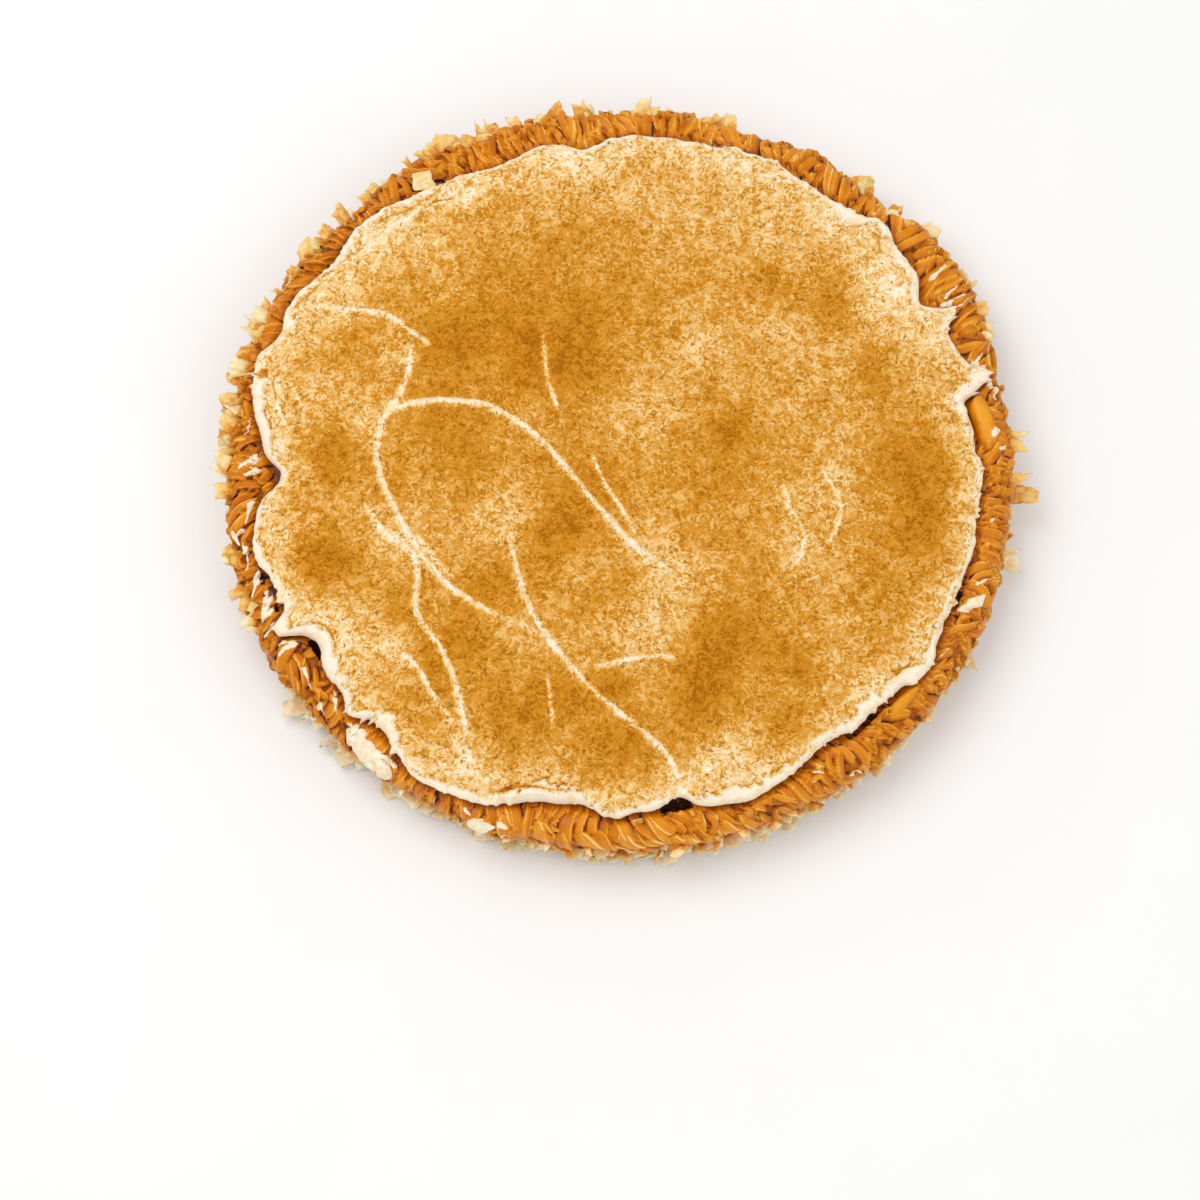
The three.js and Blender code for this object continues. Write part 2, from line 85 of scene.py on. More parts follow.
# Bays and tongues of the cream's edge: angle and half width in degrees, reach
EDGE_BUMPS = [
    (2.5, 2.5, -2.2), (9, 4.5, -3.2), (14, 2.4, 6.2), (25.6, 1.6, 6), (29.5, 1.6, -2.4), (36, 3.5, 2.2),
    (43.5, 3, 5), (66, 5, 1.5), (75, 19, 1.8), (96, 3.5, -4.4), (112, 6, -3.4), (134, 7, 4.2), (152, 6, 5),
    (164, 4, 6.5), (170.5, 4, 3.5), (182.3, 3, -7), (194, 6, 3.6), (207.2, 1.8, 7), (212, 3, -3.5),
    (224, 2.5, 4), (239, 6, 7), (248, 5, 4.6), (258, 5, -2), (264, 3, -2), (268.5, 2.5, 1.8),
    (279, 2.6, -3.6), (290, 6, 3), (305, 5, -3.5), (315, 4, -1.8), (325, 4, 2.6), (352.5, 4, -1.6),
]

# Bulges and dents of the border's outer side, in the same terms
BORDER_BULGES = [
    (24, 7, 2.2), (34, 8, 4.6), (40.5, 2.5, 2.4), (52, 4, 1.2), (60, 4.5, 3.2), (79.5, 4, 1.9),
    (100, 4, 0.9), (121, 4, 1.6), (127.5, 2.5, 1), (135.5, 3, -1.4), (150, 4, 1.4), (175, 6, -0.9),
    (191, 4, 0.8), (200, 4, 1.2), (209, 5, 2.2), (219, 3, 0.4), (230, 5, 0.5), (239, 4, 0.6), (250, 5, 1.3),
    (261, 4, 0.6), (276, 6, 0.3), (291, 4, -0.3), (310, 5, 0.6), (352, 6, -0.9),
]

# How wide the undusted edge of the cream is beyond its least width, in the same terms
BARE_EDGE = [
    (12, 3, 9), (26, 1.8, 5), (31, 2, 2), (42, 3, 2), (48, 3, 4), (67, 3, 1.5), (95, 4, 1), (150, 5, 1.5),
    (168, 5, 2), (178, 4, 1.5), (196, 6, 1.5), (208, 4, 5), (216, 5, 3), (231, 4, 4), (281, 2, 2),
    (305, 4, 1.5), (321, 5, 3), (333, 4, 1.5), (345, 6, 0.5),
]

# Where the cream's edge is torn into small points, from 0 to 1, in the same terms
RAGGED_EDGE = [
    (13, 4, 1), (27, 3, 1), (45, 3, 0.5), (68, 4, 1), (165, 4, 0.7), (196, 8, 0.9), (207, 4, 0.9),
    (222, 5, 0.8), (232, 5, 1), (248, 4, 0.6), (306, 6, 0.5), (322, 8, 0.3), (335, 3, 1), (350, 8, 0.4),
]

# Rolled bands on the cream's edge: angle and width at both ends, height
EDGE_ROLLS = [
    (9, 6, 15, 7, 0.4), (32, 3, 40, 4, 0.5), (40.5, 3, 51, 7, 0.8), (61, 1.5, 72, 2.5, 0.6),
    (88, 2.5, 97, 3.5, 0.7), (101, 1.5, 118, 2, 0.5), (119, 2, 137, 4.5, 0.9), (136, 3.5, 148, 2, 0.7),
    (146.5, 2.2, 157.5, 4.5, 0.6), (163.5, 5.5, 182, 3, 1.0), (184, 2, 200, 2.5, 0.6),
    (204, 6, 221, 4.5, 0.9), (220, 3, 228, 3, 0.7), (228, 6.5, 236, 2, 0.6), (236, 1.4, 250.4, 4, 0.4),
    (250.8, 6.8, 264.6, 3.6, 2.2), (265, 1.2, 277, 3.2, 0.4), (280.5, 4, 302, 3, 1.0),
    (306, 3, 316.5, 5, 0.6), (316, 5.5, 330, 4, 0.8), (334, 1.2, 358, 1.6, 0.4),
]

# Folds on the cream: half width, height, points of the path on plan
FOLDS = [
    (2.0, 1.5, [(-72, 14), (-67, 17), (-55, 19), (-40, 17), (-27, 9), (-6, -16), (6, -29), (16, -35)]),
    (1.8, 1.3, [(-64, 41), (-66, 26), (-73, 11), (-74, 0), (-67, -18), (-54, -37), (-42, -46), (-20, -56)]),
    (1.7, 1.2, [(-34, -19), (-32, -32), (-26, -49), (-9, -71), (5, -83), (14, -92), (17, -100)]),
    (1.6, 1.2, [(-101, 50), (-86, 49), (-72, 47), (-65, 42), (-58, 37)]),
    (1.8, 1.2, [(-74, -18), (-62, -31), (-61, -48), (-53, -60), (-47, -78), (-44, -99)]),
    (1.6, 1.0, [(-71, -56), (-62, -63), (-55, -74), (-49, -82)]),
    (1.0, 0.4, [(-24, 42), (-22, 25), (-18, 15)]),
    (1.0, 0.5, [(-10, 5), (-5, -7), (0, -15), (5, -24)]),
    (1.4, 1.0, [(-8, -65), (3, -62), (16, -61)]),
    (1.5, 1.1, [(-80, 67), (-71, 76), (-60, 83), (-49, 89)]),
    (1.2, 0.6, [(49, -12), (55, -24), (51, -37)]),
]

# A fold's form: places across it, in half widths, and the share of its height there
FOLD_PLACES = [-1.15, -0.8, -0.35, 0.2, 0.5, 0.85, 1.1]
FOLD_PROFILE = [0, 0.22, 0.72, 1, 0.75, 0.12, 0]

# Faint strokes that only thin the dusting, in the same terms as the folds
FAINT_STROKES = [
    (1.2, 0.2, [(-22, -67), (-21, -75), (-20, -83)]), (0.9, 0.2, [(49, -7), (51, -14), (52, -20)]),
    (1.0, 0.25, [(60, -2), (66, -12), (64, -23), (58, -29)]), (0.9, 0.2, [(-101, 25), (-97, 17), (-95, 9)]),
    (1.4, 0.5, [(-107, 25), (-105, 18), (-102, 11)]), (1.6, 0.3, [(-78, -13), (-71, -23), (-62, -28)]),
    (1.4, 0.3, [(-62, -23), (-55, -32), (-50, -37)]),
    (1.2, 0.25, [(-93, 70), (-81, 81), (-69, 88), (-53, 95)]),
]

# Large flakes: angle, reach, width, height of the root, pitch, and tone from 0 for pale to 1 for golden
LARGE_FLAKES = [
    (22.5, 128.5, 8, 12, 8, 0.5), (29.5, 133.5, 11, 12, 14, 0.3), (39, 131.5, 12, 15, 10, 0.2),
    (51.7, 127.5, 17, 17, 14, 0.0), (94.1, 129, 7, 17, 25, 0.0), (110.8, 129, 7, 18, 30, 0.5),
    (118.2, 129.5, 22, 18.5, 14, 0.45), (142.6, 128.5, 8, 17, 16, 0.3), (156.6, 130, 8, 14, 12, 0.2),
    (175.4, 126.5, 11, 14, 12, 0.4), (200.1, 124.5, 15, 12, 14, 0.3), (215.6, 129.5, 13, 3.6, 4, 0.0),
    (225, 130.5, 13, 3.6, 2, 0.0), (237, 123.5, 11, 3.2, 6, 0.2), (254.3, 124, 9, 3.2, 4, 0.2),
    (268.5, 123.5, 21, 4.4, 3, 0.5), (291, 123.5, 9, 3, 5, 0.1), (325, 122.5, 9, 3.4, 8, 0.2),
    (333, 128.5, 7, 3.4, 3, 0.1), (348, 128.5, 12, 10.5, -4, 0.1), (358, 130.5, 7, 13, 4, 0.6),
    (75.1, 128, 5, 17, 20, 0.0), (147.4, 127.5, 6, 15.5, 14, 0.3), (318.4, 123, 6, 4, 8, 0.1),
]

# Lumps: angle, length along the border, width, height, place across the border from 0 to 1, slant
CARAMEL_LUMPS = [(7.4, 18, 5.2, 2.6, 0.265, -2), (319, 13, 3.8, 1.8, 0.31, -0.5)]
CREAM_DABS = [
    (230, 20, 5, 1.6, 0.52, 3), (249.5, 9, 4, 1.3, 0.6, -2), (191, 6, 3, 1.2, 0.5, -2),
    (337.6, 9, 2.8, 1.2, 0.38, 5),
]

# Gaps torn between the cream and the border: angle, half width in degrees, radius, width, depth
CREVICES = [
    (278.8, 2.7, 106.5, 2.1, 3), (211.8, 2.6, 107, 2.4, 5.5), (312.5, 4.2, 108.6, 0.8, 1.1),
    (198.3, 0.8, 113.8, 1, 2), (203.4, 0.7, 112.6, 0.9, 2), (162, 0.8, 115.5, 1.2, 2.5),
    (337.5, 1.5, 110, 0.7, 1.5),
]

# Creases in the cream's edge: angle and distance inside the edge at both ends
CREASES = [
    (121, 3.2, 136, 4.6), (121, 6.5, 127, 5.8), (146, 3.5, 155, 2.4), (163, 7.5, 171, 6.5),
    (166, 11, 173, 9), (136, 2.4, 141, 5.5), (248, 4.5, 262, 3.6), (38, 4.2, 44, 6.5), (208, 6.5, 216, 4.4),
    (318, 6.5, 327, 4.5),
]

# Small holes in the cream's edge: angle, distance inside the edge, half width
DIMPLES = [(251.6, 4.2, 1.3), (165.4, 2.8, 1.8)]

# Thin smears of cream on the border: angle and place across at both ends, then half width
SMEARS = [
    (16.4, 0.26, 11.2, 0.5, 2.5), (15, 0.36, 12, 0.5, 1.2), (2.6, 0.42, 3.2, 0.5, 0.6),
    (223.5, 0.28, 227, 0.5, 1.2), (227, 0.44, 234, 0.42, 1.2), (4.5, 0.36, 6.2, 0.42, 1.0),
    (163.2, 0.42, 165.5, 0.5, 0.7), (178.6, 0.26, 180, 0.42, 1.6), (180.6, 0.25, 181.4, 0.36, 1.2),
    (16.5, 0.3, 18, 0.42, 0.6), (26.5, 0.3, 26.3, 0.5, 0.7), (28.5, 0.3, 29.3, 0.42, 0.6),
    (27.3, 0.25, 27.5, 0.45, 0.8), (68, 0.22, 69, 0.34, 0.7), (70, 0.2, 70.5, 0.3, 0.6),
    (161.5, 0.3, 162, 0.45, 0.8), (166, 0.38, 170, 0.36, 0.8), (190, 0.42, 190.6, 0.5, 0.6),
    (203.5, 0.35, 204.5, 0.52, 0.7), (205.5, 0.35, 206, 0.5, 0.6), (208.5, 0.25, 208.8, 0.42, 0.9),
    (225, 0.3, 227, 0.42, 0.8), (226, 0.42, 230, 0.5, 1.4), (232.5, 0.48, 235.5, 0.4, 1.2),
    (246.5, 0.5, 247.5, 0.53, 0.8), (267.5, 0.25, 268.5, 0.3, 0.6), (270, 0.28, 271, 0.27, 0.5),
    (340.5, 0.35, 342.5, 0.48, 0.6), (222, 0.3, 224, 0.4, 0.7), (219.5, 0.5, 221, 0.55, 0.7),
    (200.5, 0.3, 202.5, 0.42, 0.7), (205.5, 0.22, 206.5, 0.5, 0.9), (201, 0.27, 205, 0.52, 1.0),
    (196.5, 0.3, 200.5, 0.5, 1.1), (209.3, 0.18, 209.9, 0.44, 1.6), (218.5, 0.2, 222.3, 0.42, 1.0),
    (220.5, 0.18, 224.5, 0.4, 1.0), (224.3, 0.22, 226.3, 0.42, 1.6), (236, 0.32, 240.5, 0.48, 1.0),
    (233.8, 0.28, 236, 0.44, 0.9), (32, 0.28, 32.6, 0.4, 0.7), (45.2, 0.3, 46, 0.36, 1.0),
    (66, 0.2, 71, 0.22, 1.2), (74, 0.2, 75, 0.3, 0.7), (160.5, 0.28, 165, 0.26, 1.3),
    (172, 0.36, 175, 0.4, 0.5), (186, 0.3, 189, 0.36, 0.8), (193, 0.42, 196, 0.46, 0.8),
    (198, 0.3, 199.5, 0.46, 0.6), (214, 0.36, 217, 0.44, 0.6), (238, 0.4, 241, 0.5, 0.8),
    (245, 0.36, 247, 0.42, 0.7), (252, 0.5, 253, 0.54, 0.9), (272, 0.3, 273.5, 0.28, 0.5),
    (286, 0.3, 287, 0.36, 0.5), (301, 0.32, 302, 0.38, 0.5), (327, 0.32, 329, 0.36, 0.6),
    (351, 0.36, 352, 0.44, 0.4),
]

# Where the dusting is heavier or thinner than its mean: x, y, radius, strength
DUST_PATCHES = [
    (-38, 37, 17, 0.9), (-54, 40, 8, 0.35), (-7, 46, 11, 0.7), (-14, 28, 8, 0.6), (-23, 67, 8, 0.6),
    (-37, 82, 4, 0.6), (-51, 75, 5, 0.4), (4, 74, 10, 0.15), (47, 60, 6, 0.5), (65, 52, 8, 0.6),
    (43, 28, 6, 0.5), (78, 29, 8, 0.5), (33, 11, 6, 0.8), (29, -6, 10, 0.6), (-17, -16, 8, 0.8),
    (-23, -27, 7, 0.5), (-46, -1, 8, 0.6), (-57, 16, 8, 0.7), (-84, 6, 7, 0.6), (-90, 21, 7, -0.4),
    (-86, -6, 7, 0.5), (-83, 35, 7, 0.4), (-90, -32, 8, 0.9), (-77, -36, 6, 0.1), (-66, -47, 5, 0.6),
    (-41, -41, 7, 0.6), (-46, -56, 8, 0.7), (-57, -64, 5, 0.7), (-67, -74, 7, 0.6), (-33, -80, 8, 0.9),
    (-14, -74, 8, 1.0), (2, -88, 7, 0.9), (-2, -70, 5, 0.7), (39, -43, 7, 0.5), (29, -59, 10, 0.9),
    (23, -76, 8, 0.9), (47, -58, 7, 0.5), (53, -65, 5, 0.8), (87, -7, 11, 0.7), (94, -22, 7, 0.6),
    (85, 9, 7, 0.25), (78, -33, 9, 0.2), (53, -85, 8, 0.9), (1, -34, 9, 0.3), (21, 2, 9, 0.1),
    (71, -50, 9, 0.2), (-20, -49, 7, 0.1), (-6, -8, 11, 0.45), (-48, 89, 8, -0.9), (-14, 99, 9, -0.9),
    (-31, 80, 7, -0.4), (-11, 79, 5, 0.2), (-60, 69, 6, -0.4), (25, 95, 9, -0.6), (21, 81, 6, -0.4),
    (54, 76, 8, -0.6), (40, 76, 7, -0.3), (44, 96, 8, -0.6), (-68, 77, 8, -0.6), (-77, 69, 8, -0.6),
    (72, 77, 9, -0.6), (82, 62, 9, -0.9), (80, 51, 8, -0.7), (67, 31, 6, -0.4), (92, 48, 8, -0.6),
    (-89, 48, 8, -0.6), (-108, 21, 5, -0.9), (-105, 7, 5, -0.5), (-77, 11, 4, -0.8), (-72, -22, 5, -0.4),
    (-64, -30, 4, -0.3), (-35, -16, 9, -0.6), (-70, -9, 6, 0.5), (6, -28, 6, -0.7), (15, -41, 7, -0.8),
    (9, -52, 7, -0.4), (2, -60, 6, -0.4), (24, 36, 8, -0.4), (9, 16, 10, -0.2), (51, 43, 9, -0.5),
    (63, -9, 5, -0.5), (52, -25, 5, -0.3), (57, -36, 6, -0.2), (-93, -48, 6, -0.9), (-84, -56, 5, -0.9),
    (-73, -56, 6, -0.6), (-65, -64, 5, -0.5), (-49, -86, 5, -0.5), (-42, -94, 7, -0.8), (-21, -92, 5, -0.3),
    (-10, -99, 5, 0.6), (33, -87, 8, -0.5), (29, -95, 7, -0.6), (79, -69, 6, -0.6), (69, -80, 5, 0.2),
    (99, 4, 6, 0.35), (101, -33, 6, 0.6), (-104, -25, 6, -0.3), (6, 86, 9, -0.3), (-69, 34, 4, -0.7),
    (-11, 1, 6, 0.4), (49, 26, 7, -0.3), (-82, -49, 6, -0.5), (-55, -34, 6, 0.4), (89, -58, 6, -0.3),
    (12, 57, 7, 0.35), (-11, -48, 5, 0.4), (-99, -37, 5, 0.5), (92, 31, 5, -0.25), (-101, -8, 6, 0.35),
    (-25, -55, 6, -0.35), (41, -32, 6, 0.3),
]

# Where the border is darker: angle and half width in degrees, change of its tone
DARKER_BORDER = [(142, 22, -0.1), (203, 25, -0.11), (20, 12, -0.03), (330, 15, -0.06)]

# How finely the meshes are made, and how many scraps of caramel and grains of cinnamon there are
CREAM_STEP = 0.8
LIP_COLUMNS = 2200
BORDER_COLUMNS = 1640
BORDER_ROWS = 57
BASE_COLUMNS = 900
STROKE_POINTS = 24
DAB_POINTS = 40
SCRAPS = 1000
GRAINS = 2400

# Belts of combed strokes on the border: place up its line and length
STROKE_BELTS = [(4.5, 8.0), (11.0, 12.5), (19.0, 11.0), (26.5, 9.0)]

# Where leaves of pastry stand out of the border's upper side: angle and half width in degrees, share
UPPER_LEAVES = [
    (3, 5, 0.5), (24, 5, 0.9), (30, 4, 1), (39, 4, 1), (52, 6, 0.9), (62, 4, 0.4), (76, 3, 0.6),
    (84, 3, 0.7), (89, 3, 0.6), (95, 3, 0.7), (104, 4, 0.6), (111, 3, 1), (118, 6, 1), (128, 3, 0.9),
    (135, 3, 0.7), (142, 4, 1), (148, 4, 1), (157, 5, 1), (164, 4, 0.9), (172, 3, 0.7), (178, 5, 1),
    (200, 6, 0.9),
]
FULL_TURN = 2 * math.pi


def random_source(seed):
    """The same repeatable draw from 0 to 1 as the solids use."""
    state = [seed]

    def draw(low=0.0, high=1.0):
        state[0] = (state[0] * 1664525 + 1013904223) % 2**32
        return low + (high - low) * state[0] / 2**32

    return draw


def smoothstep(low, high, x):
    t = np.clip((x - low) / (high - low), 0, 1)
    return t * t * (3 - 2 * t)


NOISE_TABLE = np.random.default_rng(7).random(65536) * 2 - 1
LAST_NOISE = len(NOISE_TABLE) - 1


def value_noise(x, y, period=1 << 20):
    """Smooth noise from -1 to 1, one bump to a unit; it repeats along x after the period."""
    cell_x, cell_y = np.floor(x).astype(np.int64), np.floor(y).astype(np.int64)
    part_x, part_y = x - cell_x, y - cell_y
    part_x, part_y = part_x**2 * (3 - 2 * part_x), part_y**2 * (3 - 2 * part_y)

    def corner(across, up):
        return NOISE_TABLE[(((cell_x + across) % period) * 7349 + (cell_y + up) * 9157) & LAST_NOISE]

    low = corner(0, 0) * (1 - part_x) + corner(1, 0) * part_x
    high = corner(0, 1) * (1 - part_x) + corner(1, 1) * part_x
    return low * (1 - part_y) + high * part_y


def jagged(place):
    """Zigzag noise from 0 to 1, which turns at each whole number."""
    cell = np.floor(place).astype(np.int64)
    part = place - cell
    here, after = (np.abs(NOISE_TABLE[(cell + step) & LAST_NOISE]) for step in (0, 1))
    return here * (1 - part) + after * part


def layered_noise(x, y, size, layers=3):
    """Noise whose largest bumps have this size, with finer and weaker layers on them."""
    total = 0.0
    for k in range(layers):
        total = total + value_noise(x * 2**k / size + 37.3 * k, y * 2**k / size + 11.9 * k) / 2**k
    return total / 1.5


def wander(angle, lobes, phase):
    return 0.6 * np.sin(lobes * angle + phase) + 0.4 * np.sin((2 * lobes + 1) * angle + 2.3 * phase)


def polar(radius, angle, z):
    """Points of the slightly oval pie, as rows of x, y, z."""
    r = radius * (1 + OVAL * np.cos(2 * angle))
    return np.stack(np.broadcast_arrays(r * np.cos(angle), r * np.sin(angle), z), axis=-1)


def smooth_curve(points, shares):
    """Points along the centripetal curve through these points, at shares from 0 to 1."""
    points = np.asarray(points, float)
    padded = np.vstack([2 * points[0] - points[1], points, 2 * points[-1] - points[-2]])
    steps = np.sqrt(np.linalg.norm(np.diff(padded, axis=0), axis=1))
    spot = np.clip(np.asarray(shares, float), 0, 1) * (len(points) - 1)
    k = np.minimum(spot.astype(int), len(points) - 2)
    t = (spot - k)[:, None]
    a, b, c, d = (padded[k + n] for n in range(4))
    before, here, after = (steps[k + n][:, None] for n in range(3))
    leave = ((b - a) / before - (c - a) / (before + here) + (c - b) / here) * here
    arrive = ((c - b) / here - (d - b) / (here + after) + (d - c) / after) * here
    return (
        b
        + leave * t
        + (3 * (c - b) - 2 * leave - arrive) * t**2
        + (2 * (b - c) + leave + arrive) * t**3
    )


def band(upper, lower, upper_start, lower_start):
    """Triangles between two closed rows of points that run the same way round and may differ in number."""
    if upper == lower:
        k = np.arange(upper)
        n = (k + 1) % upper
        first = np.stack([upper_start + k, lower_start + k, lower_start + n], axis=1)
        second = np.stack([upper_start + k, lower_start + n, upper_start + n], axis=1)
        return np.vstack([first, second])
    triangles = []
    i = j = 0
    while i < upper or j < lower:
        a, b = upper_start + i % upper, lower_start + j % lower
        if i == upper or (j < lower and (j + 1) * upper <= (i + 1) * lower):
            j += 1
            triangles.append((a, b, lower_start + j % lower))
        else:
            i += 1
            triangles.append((a, b, upper_start + i % upper))
    return np.array(triangles)


def skin(rows):
    """A closed surface over rows of points; the first and last row may be one point each."""
    triangles, start = [], 0
    for above, below in zip(rows, rows[1:]):
        triangles.append(band(len(above), len(below), start, start + len(above)))
        start += len(above)
    return np.vstack(rows), np.vstack(triangles)


def make_piece(name, points, triangles, material, replaced=(), values=None, smooth=True):
    """A piece of the pie from millimetre points, with a number at each point for each named value."""
    mesh = bpy.data.meshes.new(name)
    mesh.vertices.add(len(points))
    mesh.vertices.foreach_set("co", (np.asarray(points) * MM).astype(np.float32).ravel())
    mesh.loops.add(3 * len(triangles))
    mesh.loops.foreach_set("vertex_index", np.asarray(triangles).astype(np.int32).ravel())
    mesh.polygons.add(len(triangles))
    mesh.polygons.foreach_set("loop_start", np.arange(0, 3 * len(triangles), 3, dtype=np.int32))
    mesh.polygons.foreach_set("use_smooth", np.full(len(triangles), smooth))
    for key, numbers in (values or {}).items():
        layer = mesh.attributes.new(key, "FLOAT", "POINT")
        layer.data.foreach_set("value", np.asarray(numbers, np.float32).ravel())
    mesh.update(calc_edges=True)
    mesh.validate()
    mesh.materials.append(material)
    piece = bpy.data.objects.new(name, mesh)
    bpy.context.scene.collection.objects.link(piece)
    if replaced:
        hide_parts(*replaced)
    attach(piece, "root")


# Materials


def colour(red, green, blue):
    """A shader colour from the 0 to 255 values that a picture shows."""
    shares = [c / 255 for c in (red, green, blue)]
    return (*[c / 12.92 if c < 0.04045 else ((c + 0.055) / 1.055) ** 2.4 for c in shares], 1.0)


class Shader:
    """A material's nodes, made one after another."""

    def __init__(self, name, **surface):
        self.material = bpy.data.materials.new(name)
        self.material.use_nodes = True
        self.tree = self.material.node_tree
        self.surface = self.tree.nodes["Principled BSDF"]
        for key, number in surface.items():
            self.surface.inputs[key.replace("_", " ")].default_value = number
        self.place = self.add("ShaderNodeTexCoord").outputs["Object"]

    def add(self, kind, **settings):
        node = self.tree.nodes.new(kind)
        for key, setting in settings.items():
            setattr(node, key, setting)
        return node

    def link(self, source, target):
        if hasattr(source, "is_output"):
            self.tree.links.new(source, target)
        else:
            target.default_value = source

    def attribute(self, name):
        return self.add("ShaderNodeAttribute", attribute_name=name).outputs["Fac"]

    def noise(self, size, detail=2.0, distortion=0.0):
        """Noise whose bumps are about this many millimetres."""
        node = self.add("ShaderNodeTexNoise")
        self.link(self.place, node.inputs["Vector"])
        node.inputs["Scale"].default_value = 1 / (size * MM)
        node.inputs["Detail"].default_value = detail
        node.inputs["Distortion"].default_value = distortion
        return node.outputs["Fac"]

    def lines(self, across, scale):
        """Noise in lines, from a value that runs across them."""
        node = self.add("ShaderNodeTexNoise", noise_dimensions="1D")
        self.link(across, node.inputs["W"])
        node.inputs["Scale"].default_value = scale
        node.inputs["Detail"].default_value = 1.5
        return node.outputs["Fac"]

    def math(self, operation, *values):
        node = self.add("ShaderNodeMath", operation=operation)
        for value, socket in zip(values, node.inputs):
            self.link(value, socket)
        return node.outputs[0]

    def spread(self, value, low, high, to_low=0.0, to_high=1.0):
        """The value stretched from one range to another, and held inside it."""
        node = self.add("ShaderNodeMapRange")
        for number, socket in zip((value, low, high, to_low, to_high), node.inputs):
            self.link(number, socket)
        return node.outputs[0]

    def ramp(self, value, *stops):
        node = self.add("ShaderNodeValToRGB")
        elements = node.color_ramp.elements
        while len(elements) < len(stops):
            elements.new(0.5)
        for element, (position, shade) in zip(elements, stops):
            element.position = position
            element.color = shade
        self.link(value, node.inputs[0])
        return node.outputs["Color"]

    def mix(self, share, first, second):
        node = self.add("ShaderNodeMix", data_type="RGBA")
        for value, socket in zip((share, first, second), (node.inputs[0], node.inputs[6], node.inputs[7])):
            self.link(value, socket)
        return node.outputs[2]

    def bump(self, height, depth, strength):
        """Fine relief, with its depth in millimetres."""
        node = self.add("ShaderNodeBump")
        node.inputs["Distance"].default_value = depth * MM
        node.inputs["Strength"].default_value = strength
        self.link(height, node.inputs["Height"])
        self.link(node.outputs[0], self.surface.inputs["Normal"])

    def paint(self, base, roughness=None):
        self.link(base, self.surface.inputs["Base Color"])
        if roughness is not None:
            self.link(roughness, self.surface.inputs["Roughness"])
        return self.material


def dusted_cream():
    """Whipped cream under cinnamon, which lies in short pale and dark curls, thicker where the dusting value
    is high; that value also holds painted shade in the hollows of the cream's edge.
    """
    s = Shader("dusted_cream", Specular_IOR_Level=0.12, Subsurface_Weight=0.05, Subsurface_Scale=0.002)

    def curls(size, width, distortion):
        field = s.math("SUBTRACT", s.noise(size, detail=0.6, distortion=distortion), 0.5)
        return s.spread(s.math("ABSOLUTE", field), 0.0, width, 1.0, 0.0)

    broken = s.spread(s.noise(3.4, detail=1.0), 0.34, 0.5, 0.3, 1.0)
    pale = s.math("MULTIPLY", s.math("MAXIMUM", curls(3.3, 0.085, 0.9), curls(2.3, 0.085, 0.6)), broken)
    dark = s.math("MULTIPLY", curls(2.8, 0.1, 1.2), s.spread(s.noise(4.2, detail=1.0), 0.36, 0.5))
    grain = s.noise(0.7, detail=1.0, distortion=0.4)
    dust_and_shade = s.attribute("dust_and_shade")
    fade = s.spread(dust_and_shade, 0.0, 0.12)
    lightness = s.math("MULTIPLY_ADD", pale, 0.36, s.spread(grain, 0.3, 0.7, -0.08, 0.06))
    lightness = s.math("SUBTRACT", lightness, s.math("MULTIPLY", dark, 0.35))
    lightness = s.math("MULTIPLY", lightness, s.spread(dust_and_shade, 0.45, 0.85, 1.05, 0.6))
    lightness = s.math("MULTIPLY", lightness, fade)
    patches = s.spread(s.noise(7), 0.3, 0.7, -0.03, 0.03)
    cover = s.math("SUBTRACT", s.math("ADD", dust_and_shade, s.math("MULTIPLY", patches, fade)), lightness)
    stains = s.spread(s.noise(2.6, detail=3.0, distortion=0.8), 0.52, 0.75, 0.0, 0.26)
    cover = s.math("ADD", cover, s.math("MULTIPLY", stains, s.spread(dust_and_shade, 0.0, 0.3, 1.0, 0.0)))
    shade = s.ramp(
        cover,
        (0.0, colour(253, 239, 214)),
        (0.2, colour(249, 220, 168)),
        (0.45, colour(235, 187, 108)),
        (0.68, colour(214, 146, 42)),
        (0.9, colour(194, 122, 14)),
        (1.0, colour(170, 100, 4)),
    )
    specks = s.math("MULTIPLY", s.spread(s.noise(1.2, detail=0.0, distortion=0.6), 0.7, 0.75), fade)
    shade = s.mix(s.math("MULTIPLY", specks, 0.6), shade, colour(146, 86, 14))
    wrinkles = s.lines(s.math("MULTIPLY_ADD", s.noise(5, detail=1.0), 5.0, s.attribute("inset")), 1.0)
    dusted = s.math("SUBTRACT", s.math("MULTIPLY", pale, 0.5), s.math("MULTIPLY", grain, 0.4))
    bare = s.math("MULTIPLY_ADD", s.noise(1.4), 0.7, s.math("MULTIPLY", wrinkles, 1.8))
    s.bump(s.math("MULTIPLY_ADD", fade, s.math("SUBTRACT", dusted, bare), bare), 0.3, 0.7)
    return s.paint(shade, s.spread(dust_and_shade, 0.0, 0.5, 0.55, 0.9))


def plain_cream():
    s = Shader("plain_cream", Specular_IOR_Level=0.35, Subsurface_Weight=0.1, Subsurface_Scale=0.002)
    fine = s.noise(1.6, detail=3.0)
    s.bump(fine, 0.12, 0.5)
    return s.paint(s.ramp(fine, (0.3, colour(242, 214, 170)), (0.65, colour(255, 243, 220))), 0.5)


